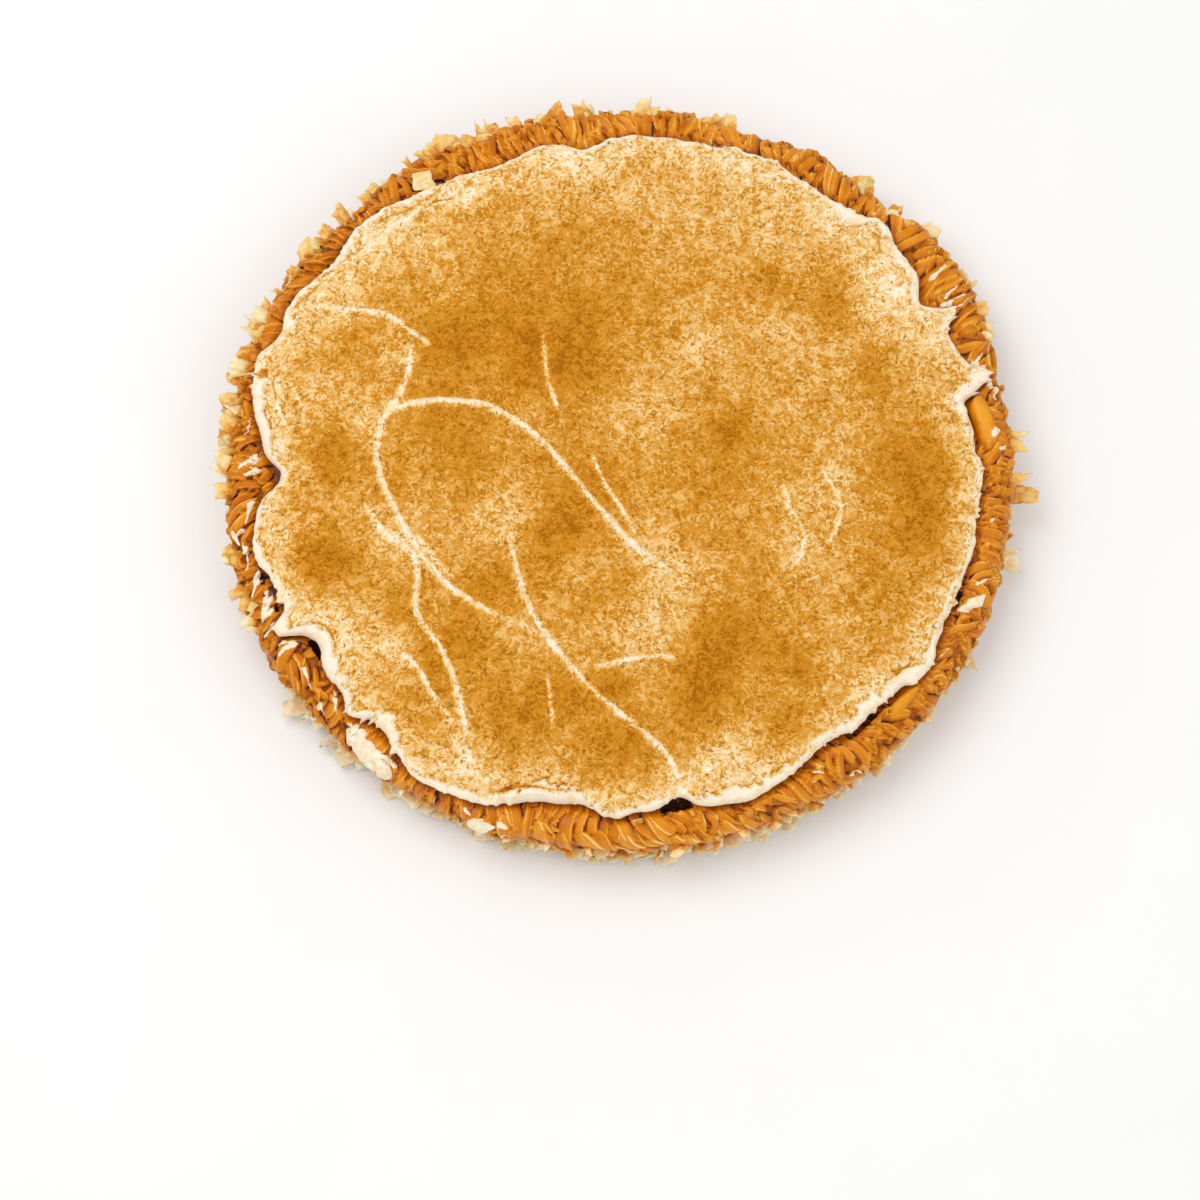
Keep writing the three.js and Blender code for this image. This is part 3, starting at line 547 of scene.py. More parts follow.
def caramel():
    """Dulce de leche, amber, with painted shade in its grooves and torn gaps, painted highlights on its
    crests, and cream smeared on it here and there.
    """
    s = Shader("caramel", Specular_IOR_Level=0.22, Subsurface_Weight=0.03, Subsurface_Scale=0.002)
    uneven = s.noise(5, detail=3.0)
    lines = s.lines(s.attribute("across"), 1.3)
    level = s.math("ADD", s.attribute("relief"), s.spread(uneven, 0.3, 0.7, -0.1, 0.1))
    level = s.math("ADD", level, s.spread(lines, 0.3, 0.7, -0.1, 0.1))
    # The relief value is the caramel's tone with painted light in it: near black is painted shade in the torn
    # gaps, dark brown is painted shade in the grooves, and the palest stop is a painted highlight on the
    # crests.
    shade = s.ramp(
        level,
        (0.0, colour(50, 18, 0)),
        (0.1, colour(146, 72, 0)),
        (0.34, colour(193, 102, 0)),
        (0.58, colour(224, 138, 8)),
        (0.8, colour(239, 163, 42)),
        (1.0, colour(254, 213, 138)),
    )
    shade = s.mix(s.spread(s.attribute("smear"), 0.35, 0.6), shade, colour(252, 236, 206))
    s.bump(s.math("ADD", lines, s.math("MULTIPLY", s.noise(0.7, detail=1.0), 0.3)), 0.15, 0.6)
    return s.paint(shade, s.spread(uneven, 0.3, 0.7, 0.3, 0.5))


def flaky_pastry(name, pale, golden):
    """A thin baked leaf: its tone value runs from pale to golden, with browner blisters."""
    s = Shader(name, Specular_IOR_Level=0.25, Subsurface_Weight=0.35, Subsurface_Scale=0.0015)
    blisters = s.noise(2.2, detail=4.0, distortion=0.5)
    grain = s.noise(0.5)
    tone = s.math("ADD", s.attribute("tone"), s.spread(blisters, 0.35, 0.75, -0.15, 0.4))
    shade = s.ramp(
        s.math("ADD", tone, 0.25),
        (0.0, colour(250, 240, 216)),
        (0.25, pale),
        (0.75, golden),
        (1.0, colour(216, 146, 50)),
    )
    s.bump(s.math("ADD", blisters, s.math("MULTIPLY", grain, 0.3)), 0.15, 0.5)
    return s.paint(shade, s.spread(blisters, 0.3, 0.7, 0.5, 0.75))


def cinnamon():
    s = Shader("cinnamon", Specular_IOR_Level=0.0, Roughness=1.0)
    return s.paint(s.ramp(s.noise(3, detail=1.0), (0.35, colour(150, 88, 16)), (0.65, colour(176, 108, 24))))


# Cream


def bumps_at(angle, bumps):
    """The sum of these bumps at each angle."""
    total = 0.0 * angle
    for at, half_width, size in bumps:
        turn = angle - math.radians(at)
        away = np.arctan2(np.sin(turn), np.cos(turn)) / math.radians(half_width)
        total = total + size * np.exp(-(away**2))
    return total


def cream_reach(angle):
    """How far the cream reaches at each angle."""
    reach = CREAM_RADIUS + 0.8 * wander(angle, 7, 1.3) + bumps_at(angle, EDGE_BUMPS)
    return np.minimum(reach, CREAM_REACH_LIMIT)


def cream_surface(x, y):
    return CREAM_TOP + 0.45 * np.sin(x / 17 + 0.6) * np.cos(y / 21 - 0.4) + 0.3 * np.sin((x + y) / 29 + 2)


def cream_relief(x, y):
    """Broad and small swells of the cream, in millimetres."""
    return 0.22 * layered_noise(x, y, 16, 4) + 0.1 * layered_noise(x + 50, y, 3.5, 3)


def edge_level(angle, over):
    """How far the cream's edge is raised or lowered, where it reaches this far over its mean."""
    return 0.4 * wander(angle, 11, 0.4) - 0.2 * over


def lip_point(angle, inset, drop):
    """A point on the cream's rounded edge: inset is measured inward, and drop down through it from 0 to 1."""
    edge = cream_reach(angle)
    over = np.maximum(0, edge - CREAM_RADIUS)
    top = cream_surface(edge * np.cos(angle), edge * np.sin(angle)) + edge_level(angle, over)
    z = top - drop * (LIP_THICKNESS - 0.35 * over)
    return polar(edge - inset, angle, z)


def fold_field(x, y):
    """Height that the folds add at each place, and how bare of dust they leave it."""
    height, bare = np.zeros_like(x), np.zeros_like(x)
    for half, tall, points in FOLDS + FAINT_STROKES:
        path = smooth_curve(points, np.linspace(0, 1, 30 * len(points)))
        along = np.gradient(path, axis=0)
        along /= np.linalg.norm(along, axis=1)[:, None]
        near = np.flatnonzero(
            (x > path[:, 0].min() - 6) & (x < path[:, 0].max() + 6)
            & (y > path[:, 1].min() - 6) & (y < path[:, 1].max() + 6)
        )
        away_x = x[near, None] - path[None, :, 0]
        away_y = y[near, None] - path[None, :, 1]
        k = np.argmin(away_x**2 + away_y**2, axis=1)
        rows = np.arange(len(near))
        away_x, away_y = away_x[rows, k], away_y[rows, k]
        side = along[k, 0] * away_y - along[k, 1] * away_x
        gone = np.hypot(away_x, away_y)
        side = np.where(side < 0, -gone, gone)
        share = k / (len(path) - 1)
        uneven = 1 + 0.4 * value_noise(share * len(points) * 2.5, np.full(len(share), half * 9.1))
        swell = np.sin(np.pi * np.clip(share, 0.004, 0.996)) ** 0.5 * uneven
        place = side / (half * np.clip(swell, 0.2, 1.2))
        profile = np.interp(place, FOLD_PLACES, FOLD_PROFILE)
        height[near] = np.maximum(height[near], tall * np.minimum(swell, 1) * profile)
        width = np.where(side > 0.3 * half, 0.3, 0.6) * half * (0.6 + 0.5 * uneven)
        patchy = 0.95 + 0.35 * layered_noise(x[near], y[near], 3.5, 2)
        strength = np.clip(swell * (0.6 + 0.45 * tall) * patchy, 0, 1)
        bare[near] = np.maximum(bare[near], strength * np.exp(-(((side - 0.3 * half) / width) ** 2)))
    return height, bare


def dust_at(x, y):
    """How thickly the cinnamon lies, from 0 to 1."""
    total = np.zeros_like(x)
    for px, py, radius, strength in DUST_PATCHES:
        total = total + 0.27 * strength * np.exp(-((x - px) ** 2 + (y - py) ** 2) / (1.25 * radius) ** 2)
    return 0.66 + total + 0.09 * layered_noise(x, y, 13, 4) + 0.05 * layered_noise(x + 90, y - 40, 4.5, 3)


def lip_roughness(angle):
    """Rags and small points that the cream's edge has on top of its larger tongues."""
    x, y = CREAM_RADIUS * np.cos(angle), CREAM_RADIUS * np.sin(angle)
    ragged = np.clip(0.2 + bumps_at(angle, RAGGED_EDGE), 0, 1)
    rags = (0.6 + 0.9 * ragged) * layered_noise(x, y, 5, 4)
    points = 7 * np.maximum(0, 0.4 - 1.6 * np.abs(value_noise(x / 2.6 + 7, y / 2.6)))
    return rags + points * ragged * smoothstep(-0.2, 0.4, layered_noise(x + 31, y, 9, 2))


def lip_streaks(angle, inset):
    """Relief of the cream's edge, in millimetres: small banks along it, broken by short cross strokes."""
    spot = angle * CREAM_RADIUS
    drift = 1.6 * value_noise(spot / 13, 0 * spot + 3.3) + 0.5 * value_noise(spot / 3.1, inset / 2.5)
    banks = 1 - 2 * np.abs(value_noise(spot / 17 + 40, (inset + drift) / 1.5))
    cross = value_noise(spot / 1.3, inset / 4.5 + 9) + 0.6 * value_noise(spot / 0.7 + 5, inset / 2.2)
    return 0.42 * banks + 0.2 * cross


def painted_hollow_shade(streaks, bare_roll):
    """Painted shade in the hollows of the cream's edge, given as extra dusting value, with less of it on the
    rolled bands.
    """
    return np.clip(0.03 - 0.6 * streaks, 0, 0.34) * (1 - 0.85 * bare_roll)


def crease_field(angle, inset):
    """Where creases run in the cream's edge, from 0 to 1."""
    total = np.zeros_like(angle)
    degrees = np.degrees(angle)
    for first, deep, last, deep_end in CREASES:
        share = np.clip((degrees - first) / (last - first), 0, 1)
        away = (degrees - first - share * (last - first)) * math.radians(CREAM_RADIUS)
        off = inset - deep - (deep_end - deep) * share - 0.5 * np.sin(9 * share + deep)
        total = np.maximum(total, np.exp(-((off / 0.55) ** 2) - away**2) * np.sin(np.pi * share) ** 0.3)
    return total


def roll_field(angle, inset):
    """Height of the rolled bands on the cream's edge, where they leave it bare, and the painted shade along
    their inner crease.
    """
    degrees = np.degrees(angle) % 360
    height, bare, crease = np.zeros_like(inset), np.zeros_like(inset), np.zeros_like(inset)
    for first, wide, last, wide_end, tall in EDGE_ROLLS:
        share = (degrees - first) / (last - first)
        swell = np.sin(np.pi * np.clip(share, 0, 1)) ** 0.25
        uneven = 1 + 0.35 * value_noise(degrees / 1.7, np.full_like(degrees, wide))
        uneven += 0.3 * value_noise(degrees / 0.55 + 50, np.full_like(degrees, wide))
        width = np.maximum((wide + (wide_end - wide) * share) * swell * uneven, 0.3)
        place = inset / width
        height = np.maximum(height, tall * swell * np.clip(1 - (2 * place - 1) ** 2, 0, 1))
        bare = np.maximum(bare, (swell > 0) * (1 - smoothstep(0.85, 1.1, place)))
        # Painted shade along the inner side of each band, stronger for taller bands.
        dark = swell * min(0.7 + 0.3 * tall, 1.3)
        crease = np.maximum(crease, dark * np.exp(-(((inset - width - 0.2) / 0.45) ** 2)))
    return height, bare, crease


def dimple_field(angle, inset):
    """Where caramel shows through a small hole in the cream's edge, from 0 to 1."""
    total = np.zeros_like(inset)
    for degrees, deep, half in DIMPLES:
        across = (np.degrees(angle) % 360 - degrees) * math.radians(CREAM_RADIUS)
        total = np.maximum(total, smoothstep(1.2, 0.7, np.hypot(across, inset - deep) / half))
    return 0.75 * total


def edge_marks(angle, inset, streaked, fade=1.0):
    """Relief of the cream's edge, its darker colour (cinnamon in the creases, caramel in the dimples, painted
    shade in the hollows of the streaks and beside the rolled bands), and where the rolled bands leave it
    bare.
    """
    rolled, bare_roll, painted_roll_shade = roll_field(angle, inset)
    crease = np.maximum(crease_field(angle, inset), painted_roll_shade) * fade
    streaks = lip_streaks(angle, inset) * streaked * (1 - 0.3 * bare_roll)
    dimple = dimple_field(angle, inset) * fade
    hollow = np.maximum(0.85 * crease, painted_hollow_shade(streaks, bare_roll)) + dimple
    return streaks - 0.6 * crease + rolled * fade - 1.2 * dimple, hollow, bare_roll


def cream_rows():
    """Rows of points over the cream from its middle to its rim, under it and back, with dusting values that
    also hold painted shade.
    """
    inner = CREAM_RADIUS - LIP_START
    rows = [np.array([[0.0, 0.0, cream_surface(0.0, 0.0)]])]
    dust_and_shade, inset = [np.array([0.5])], [np.array([99.0])]
    finer = inner - 10
    for radius in [*np.arange(CREAM_STEP, finer, CREAM_STEP), *np.arange(finer, inner + 0.01, 0.5)]:
        count = max(8, round(FULL_TURN * radius / CREAM_STEP))
        angle = FULL_TURN * np.arange(count) / count
        edge = cream_reach(angle)
        r = radius + (edge - LIP_START - inner) * smoothstep(0.72, 1, radius / inner)
        flat = polar(r, angle, 0.0)
        x, y = flat[:, 0], flat[:, 1]
        sunk = smoothstep(-LIP_WIDTH, -LIP_START, r - edge)
        raised = sunk * edge_level(angle, np.maximum(0, edge - CREAM_RADIUS))
        height, bare = fold_field(x, y)
        flat[:, 2] = cream_surface(x, y) + raised + height + cream_relief(x, y) * (1 - 0.5 * sunk)
        rim = 0.6 + 0.8 * bumps_at(angle, BARE_EDGE)
        rim += 1.5 * layered_noise(x, y, 9) + 1.1 * layered_noise(x, y + 70, 2.5)
        covered = 1 - smoothstep(-rim - 0.9, -rim + 0.5, r - edge)
        halo = 1 - 0.3 * smoothstep(-14, -LIP_START, r - edge)
        streaked = smoothstep(-rim - 2.5, -rim, r - edge)
        relief, hollow, bare_roll = edge_marks(angle, edge - r, streaked)
        flat[:, 2] += relief
        rows.append(flat)
        # The dusting value takes the hollow colour (cinnamon in creases, caramel in dimples, painted shade)
        # where that is darker.
        dust_and_shade.append(np.maximum(dust_at(x, y) * (1 - bare) * (1 - bare_roll) * covered * halo, hollow))
        inset.append(edge - r)
    lip_line = [(4.6, -0.01), (LIP_START, 0), (0.8, 0.2), (0, 0.55), (1.4, 1.0)]
    angle = FULL_TURN * np.arange(LIP_COLUMNS) / LIP_COLUMNS
    for deep, drop in smooth_curve(lip_line, np.linspace(0.28, 1, 12)[1:]):
        points = lip_point(angle, deep, drop)
        points[:, :2] *= (1 + lip_roughness(angle) * (1 - abs(drop - 0.4)) / CREAM_RADIUS)[:, None]
        points[:, 2] += 0.6 * layered_noise(points[:, 0] * 1.6, points[:, 1] * 1.6, 4) * (1 - drop)
        relief, hollow, bare_roll = edge_marks(angle, deep + 0 * angle, 1 - drop, 1 - drop)
        points[:, 2] += relief
        rows.append(points)
        thin = 0.3 - 0.2 * bumps_at(angle, BARE_EDGE) + 0.3 * layered_noise(points[:, 0], points[:, 1], 5)
        # On the lip, too, the dusting value takes the hollow colour, painted shade included, where that is
        # darker.
        dust_and_shade.append(np.maximum(np.clip(thin, 0, 0.5) * (1 - drop) ** 2 * (1 - bare_roll), hollow))
        inset.append(deep - 6 * drop + 0 * angle)
    for share, each in ((1.0, 4), (0.6, 20)):
        under = angle[::each]
        rows.append(polar(share * (cream_reach(under) - LIP_WIDTH), under, CREAM_BOTTOM))
        dust_and_shade.append(np.zeros(len(under)))
        inset.append(np.zeros(len(under)))
    rows.append(np.array([[0.0, 0.0, CREAM_BOTTOM]]))
    dust_and_shade.append(np.array([0.0]))
    inset.append(np.array([0.0]))
    return rows, {"dust_and_shade": np.clip(np.concatenate(dust_and_shade), 0, 1), "inset": np.concatenate(inset)}


def make_cream():
    rows, fill = cream_rows()
    points, triangles = skin(rows)
    points[:, 2] = np.minimum(points[:, 2], cad_box[1][2] / MM)
    make_piece("cream_spread", points, triangles, dusted_cream(), ["cream_top"], fill)


# Caramel border


LINE_SHARES = np.linspace(0, 1, 601)
LINE = smooth_curve(
    [
        (103, CARAMEL_TOP - 0.4),
        (108.5, 25.4),
        (114.5, 25.6),
        (BORDER_RADIUS - 1.9, 22.2),
        (BORDER_RADIUS - 1.5, 15),
        (BORDER_RADIUS - 3.2, CARAMEL_FLOOR + 1.2),
    ],
    LINE_SHARES,
)
LINE_ALONG = np.gradient(LINE, axis=0)
LINE_LENGTHS = np.concatenate([[0], np.cumsum(np.linalg.norm(np.diff(LINE, axis=0), axis=1))])
LINE_ALONG /= np.linalg.norm(LINE_ALONG, axis=1)[:, None]


def on_line(share, table):
    return np.interp(share, LINE_SHARES, table)


def border_radius(share, angle):
    bulge = BORDER_PUSH * np.sin(angle) + bumps_at(angle, BORDER_BULGES)
    return on_line(share, LINE[:, 0]) + bulge * smoothstep(0.05, 0.5, share)


def border_point(share, angle, proud):
    """A point of the border, at a share of the line across it and standing proud of it."""
    radius = border_radius(share, angle) - on_line(share, LINE_ALONG[:, 1]) * proud
    return polar(radius, angle, on_line(share, LINE[:, 1]) + on_line(share, LINE_ALONG[:, 0]) * proud)


def clear_of_cream(angle):
    """Where the border line comes out from under the cream."""
    tried = np.arange(0, 0.625, 0.01)[:, None]
    covered = border_radius(tried, angle[None]) < cream_reach(angle) + 2 * GAP
    return np.minimum(0.01 * covered.sum(axis=0), 0.62)


def stroke(x, up, tilt, bend, length, half, height, side, tone):
    """One combed stroke: its path round the border and up its line, half width, height, raised side, tone."""
    t = np.linspace(-1, 1, STROKE_POINTS)
    way, step = tilt + bend * t, length / STROKE_POINTS
    gone_x, gone_y = np.cumsum(np.sin(way)) * step, np.cumsum(np.cos(way)) * step
    swell = (1 - t**4) ** 0.6 * 0.8 + 0.2
    path_up = np.clip(up + gone_y - gone_y.mean(), 0.5, LINE_LENGTHS[-1])
    return x + gone_x - gone_x.mean(), path_up, half * swell, height * swell, side, tone


def broad_strokes(x):
    """How much broader and longer the strokes are at a place round the border, most of all at the front."""
    return math.exp(-(((x / FULL_TURN / BORDER_RADIUS - 0.72) / 0.08) ** 2))


def strokes():
    """Combed strokes in groups that lie side by side like shingles, with scraps of caramel across them."""
    draw = random_source(211)
    made = []
    way_round = FULL_TURN * BORDER_RADIUS
    for up, length in STROKE_BELTS:
        x = 0.0
        while x < way_round:
            broad = broad_strokes(x)
            spacing = draw(1.9, 2.7) * (1 + 0.6 * broad)
            tilt, bend, side = draw(-0.5, 1.0), draw(-0.6, 0.6), 1 if draw() < 0.6 else -1
            for _ in range(round(draw(1.5, 6.5))):
                lean, curve = tilt + draw(-0.3, 0.3), bend + draw(-0.25, 0.25)
                long = length * draw(0.55, 1.1) * (1 + 0.4 * broad)
                half, height, tone = spacing * draw(0.45, 0.85), draw(0.2, 1.9), draw(0.42, 0.62)
                made.append(stroke(x, up + draw(-2, 2), lean, curve, long, half, height, side, tone))
                x += spacing * draw(0.7, 1.4)
    for _ in range(SCRAPS):
        x, up, tilt, bend = draw(0, way_round), draw(3, 29), draw(-1.6, 1.6), draw(-2, 2)
        long, half, side = draw(2.5, 7), draw(0.4, 1.3), 1 if draw() < 0.5 else -1
        height, tone = draw(0.7, 2.4), draw(0.38, 0.68)
        if draw() > 0.7 * broad_strokes(x):
            made.append(stroke(x, up, tilt, bend, long, half, height, side, tone))
    return made


def lumps():
    """Smooth lumps of caramel on the border, in the same terms, with no side that stands up."""
    made = []
    for degrees, length, width, height, middle, slant in CARAMEL_LUMPS:
        t = np.linspace(-1, 1, 30)
        swell = (1 - t**4) ** 0.5
        x = math.radians(degrees) * BORDER_RADIUS + 0.5 * length * t
        up = on_line(middle + 0.5 * slant * t / BORDER_LINE, LINE_LENGTHS)
        made.append((x, up, 0.6 * width * (0.4 + 0.6 * swell), height * swell + 0.9, 0, 0.6))
    return made


def columns_near(angle, margin, columns):
    """The border's columns that a stroke may touch."""
    low = math.floor((angle.min() - margin) / FULL_TURN * columns)
    high = math.ceil((angle.max() + margin) / FULL_TURN * columns)
    return np.arange(low, high + 1)


def lay_strokes(angles, shares):
    """Height, relief and place across the strokes, at a grid of angles and shares; the relief is their tone
    with painted shade and painted highlights.
    """
    columns = angles.shape[1]
    proud = np.full(angles.shape, -0.8)
    # Where no stroke lies, the colour value is low: painted shade in the gaps between strokes.
    relief = np.full(angles.shape, 0.3)
    across = np.zeros(angles.shape)
    up = on_line(shares, LINE_LENGTHS)
    for number, (path_x, path_up, half, height, side, tone) in enumerate(strokes() + lumps()):
        picked = columns_near(path_x / BORDER_RADIUS, 1.2 * half.max() / BORDER_RADIUS, columns)
        wrapped = picked % columns
        turned = (angles[:, wrapped] + FULL_TURN * ((picked - wrapped) // columns)) * BORDER_RADIUS
        gone_x = turned[..., None] - path_x
        gone_y = up[:, wrapped][..., None] - path_up
        distance = gone_x**2 + gone_y**2
        k = np.argmin(distance, axis=-1)
        near = np.sqrt(distance.min(axis=-1))
        along_x, along_y = np.gradient(path_x)[k], np.gradient(path_up)[k]
        k_last = k[..., None]
        turn = along_y * np.take_along_axis(gone_x, k_last, -1)[..., 0]
        turn -= along_x * np.take_along_axis(gone_y, k_last, -1)[..., 0]
        place = np.where(turn < 0, -near, near) / half[k]
        if side:
            rounded = np.sqrt(np.clip(1 - np.clip((np.abs(place) - 0.7) / 0.3, 0, 1) ** 2, 0, 1))
            rise = np.clip(0.5 + 0.5 * side * place, 0, 1)
            level = height[k] - 1.2 * (1 - rise) - 0.8 * (1 - rounded)
            # Painted light on each stroke: lighter towards its raised side, a painted highlight along its
            # high edge and a painted shade line along its low edge.
            glint = 0.34 * np.exp(-(((side * place - 0.8) / 0.12) ** 2))
            painted_groove_shade = 0.46 * np.exp(-(((side * place + 0.9) / 0.26) ** 2))
            tint = tone + 0.16 * (rise - 0.5) + glint - painted_groove_shade
        else:
            dome = np.sqrt(np.clip(1 - place**2, 0, 1))
            level = height[k] - 2.2 * (1 - dome)
            # Painted shading on a lump: lighter on its top, darker towards its edges.
            tint = 0.3 + 0.42 * dome
        wins = (level > proud[:, wrapped]) & (near < half[k])
        texture = 0.8 * np.abs(place) * half[k] * (side != 0) + 3.7 * number
        for field, value in ((proud, level), (relief, tint), (across, texture)):
            part = field[:, wrapped]
            part[wins] = value[wins]
            field[:, wrapped] = part
    return proud, relief, across


def lay_smears(angles, shares):
    """Where thin cream lies on the border, from 0 to 1."""
    smear = np.zeros(angles.shape)
    up = on_line(shares, LINE_LENGTHS)
    wobble = 0.5 * value_noise(angles * 90, up * 0.9) + 0.35 * value_noise(angles * 260, up * 2.2)
    for first, low, last, high, half in SMEARS:
        t = np.linspace(0, 1, 14)
        path_angle = np.radians(first + (last - first) * t)
        path_up = on_line(low + (high - low) * t, LINE_LENGTHS)
        picked = columns_near(path_angle, 0.04, angles.shape[1]) % angles.shape[1]
        gone_x = (angles[:, picked][..., None] - path_angle) * BORDER_RADIUS
        gone_y = up[:, picked][..., None] - path_up
        taper = half * (1.15 - 0.75 * t)
        near = (np.sqrt(gone_x**2 + gone_y**2) / taper).min(axis=-1)
        smear[:, picked] = np.maximum(smear[:, picked], np.clip(1.3 - near + wobble[:, picked], 0, 1))
    return smear


def torn_gaps(points, angles):
    """How deep the gaps beside the cream are at each point of the border."""
    radius = np.hypot(points[..., 0], points[..., 1])
    sunk = np.zeros(radius.shape)
    for degrees, half_width, middle, width, depth in CREVICES:
        turn = (angles - math.radians(degrees)) / math.radians(half_width)
        off = (radius - middle) / (0.7 * width)
        hole = np.clip(1 - turn**2, 0, 1) * np.clip(1 - off**2, 0, 1)
        sunk = np.maximum(sunk, depth * np.sqrt(hole))
    return sunk


def make_caramel():
    columns = FULL_TURN * np.arange(BORDER_COLUMNS) / BORDER_COLUMNS
    start = clear_of_cream(columns)
    row = np.linspace(0, 1, BORDER_ROWS)[:, None] ** 1.1
    shares = start + (1 - start) * row
    angles = np.broadcast_to(columns, shares.shape).copy()
    proud, relief, across = lay_strokes(angles, shares)
    rise = smoothstep(-0.06, 0.1, row)
    low = smoothstep(0.78, 1.0, shares)
    proud = rise * (proud * (1 - 0.6 * low) - 0.1) - 0.4 * (1 - rise)
    smear = lay_smears(angles, shares) * rise
    leaned = angles + 0.3 * (proud + 0.5) * rise / BORDER_RADIUS
    points = border_point(shares, leaned, proud + 0.35 * smoothstep(0.3, 0.7, smear))
    sunk = torn_gaps(points, angles)
    points[..., 2] -= sunk
    # Painted shade: the colour is darker down in the torn gaps beside the cream.
    relief = np.maximum(relief - 0.5 * sunk, -0.3)
    under = lip_point(columns, 1.6, 1)
    under[:, 2] = np.minimum(under[:, 2] - 2 * GAP, CARAMEL_TOP + 0.5 * GAP)
    coarse = columns[::4]
    middle = np.array([[0.0, 0.0, CARAMEL_TOP]])
    rows = [
        middle,
        polar(MIDDLE_RING, columns[::20], CARAMEL_TOP),
        polar(cream_reach(coarse) - LIP_WIDTH, coarse, CARAMEL_TOP),
        under,
        *points,
        border_point(np.ones(len(coarse)), coarse, 0.0),
        polar(BORDER_RADIUS - FOOT_INSET, coarse, CARAMEL_FLOOR),
        polar(MIDDLE_RING, columns[::20], CARAMEL_FLOOR),
        np.array([[0.0, 0.0, CARAMEL_FLOOR]]),
    ]
    before, after = (sum(len(r) for r in part) for part in (rows[:4], rows[-4:]))
    points, triangles = skin(rows)
    # The colour value: the strokes' tone with their painted shade and highlights, a painted shade in the
    # first rows under the cream's edge, a little darker towards the foot and where DARKER_BORDER says; the
    # parts under the cream and under the border get fixed dark values.
    tone_and_painted_shade = relief * (1 - 0.15 * low) - 0.25 * (1 - rise) + bumps_at(columns, DARKER_BORDER)
    fill = {
        "relief": np.concatenate([np.full(before, 0.1), tone_and_painted_shade.ravel(), np.full(after, 0.2)]),
        "smear": np.concatenate([np.zeros(before), smear.ravel(), np.zeros(after)]),
        "across": np.concatenate([np.zeros(before), across.ravel(), np.zeros(after)]),
    }
    make_piece("caramel_border", points, triangles, caramel(), ["caramel"], fill)


# Pastry base and flakes


def make_base():
    """The pastry disc: many thin leaves whose edges show one above the other."""
    angle = FULL_TURN * np.arange(BASE_COLUMNS) / BASE_COLUMNS
    leaf = BASE_HEIGHT / BASE_LEAVES
    rows = [np.array([[0.0, 0.0, BASE_HEIGHT]]), polar(90.0, angle[::10], BASE_HEIGHT)]
    tone = [np.array([0.3]), np.full(len(angle[::10]), 0.3)]
    for layer in reversed(range(BASE_LEAVES)):
        big = layer * 3 // BASE_LEAVES
        edge = BASE_RADIUS + 1.3 * wander(angle, 8 + 5 * big, 1.1 + big)
        spot = angle * BASE_RADIUS
        period = round(FULL_TURN * BASE_RADIUS / 2.5)
        frayed = 0.9 * value_noise(spot / 2.5, np.full(len(angle), 7.3 * layer), period)
        frayed += 0.5 * value_noise(spot / 0.9, np.full(len(angle), 3.1 * layer))
        for inset, part in ((1.5, 0.97), (0.3, 0.82), (0.1, 0.38), (1.3, 0.12)):
            z = leaf * (layer + part)
            rows.append(polar(edge - inset - 0.6 + 0.7 * frayed, angle, z))
            tone.append(0.55 + 0.25 * frayed - 0.12 * inset)
    rows += [polar(BASE_RADIUS - 3, angle, 0.0), polar(60.0, angle[::10], 0.0), np.zeros((1, 3))]
    tone += [np.full(len(angle), 0.5), np.full(len(angle[::10]), 0.6), np.array([0.6])]
    points, triangles = skin(rows)
    look = flaky_pastry("baked_pastry", colour(238, 200, 130), colour(222, 160, 74))
    fill = {"tone": np.concatenate(tone)}
    make_piece("pastry_leaves", points, triangles, look, ["pastry_base"], fill, smooth=False)


def stretch(grid, rows, columns):
    """A coarse grid of points made finer, with the straight edges of a broken leaf."""
    def finer(points, count):
        spot = np.linspace(0, len(points) - 1, count)
        k = np.minimum(spot.astype(int), len(points) - 2)
        t = (spot - k).reshape(-1, *[1] * (points.ndim - 1))
        return points[k] * (1 - t) + points[k + 1] * t

    return finer(finer(grid, rows).swapaxes(0, 1), columns).swapaxes(0, 1).copy()


def flake_grid(length, width, draw, along, across):
    """The coarse form of a flake, as the solids have it: level, pointing along X from its root."""
    grid = np.zeros((along + 1, across + 1, 3))
    for i in range(along + 1):
        u = i / along
        taper = 1 - 0.35 * u + draw(-0.18, 0.18)
        for j in range(across + 1):
            v = 2 * j / across - 1
            tear = draw(-0.3, 0) * length if i == along else 0
            wave = 0.09 * width * math.sin(2.1 * v + 1.7 * u) + 0.05 * length * math.sin(3 * u + v)
            grid[i, j] = (length * u + tear, v * 0.5 * width * taper, wave)
    return grid


def plate(grid, thickness):
    """A thin closed plate over a grid of points."""
    rows, columns = grid.shape[:2]
    cells = rows * columns
    lift = np.array([0, 0, thickness / 2])
    points = np.vstack([(grid + lift).reshape(-1, 3), (grid - lift).reshape(-1, 3)])
    i, j = np.meshgrid(np.arange(rows - 1), np.arange(columns - 1), indexing="ij")
    a = (i * columns + j).ravel()
    b, c, d = a + columns, a + columns + 1, a + 1
    top = np.vstack([np.stack([a, b, c], 1), np.stack([a, c, d], 1)])
    edge = np.concatenate([
        np.arange(columns - 1),
        np.arange(rows - 1) * columns + columns - 1,
        (rows - 1) * columns + np.arange(columns - 1, 0, -1),
        np.arange(rows - 1, 0, -1) * columns,
    ])
    after = np.roll(edge, -1)
    wall = [np.stack([edge, after, edge + cells], 1), np.stack([after, after + cells, edge + cells], 1)]
    return points, np.vstack([top, top[:, ::-1] + cells, *wall])


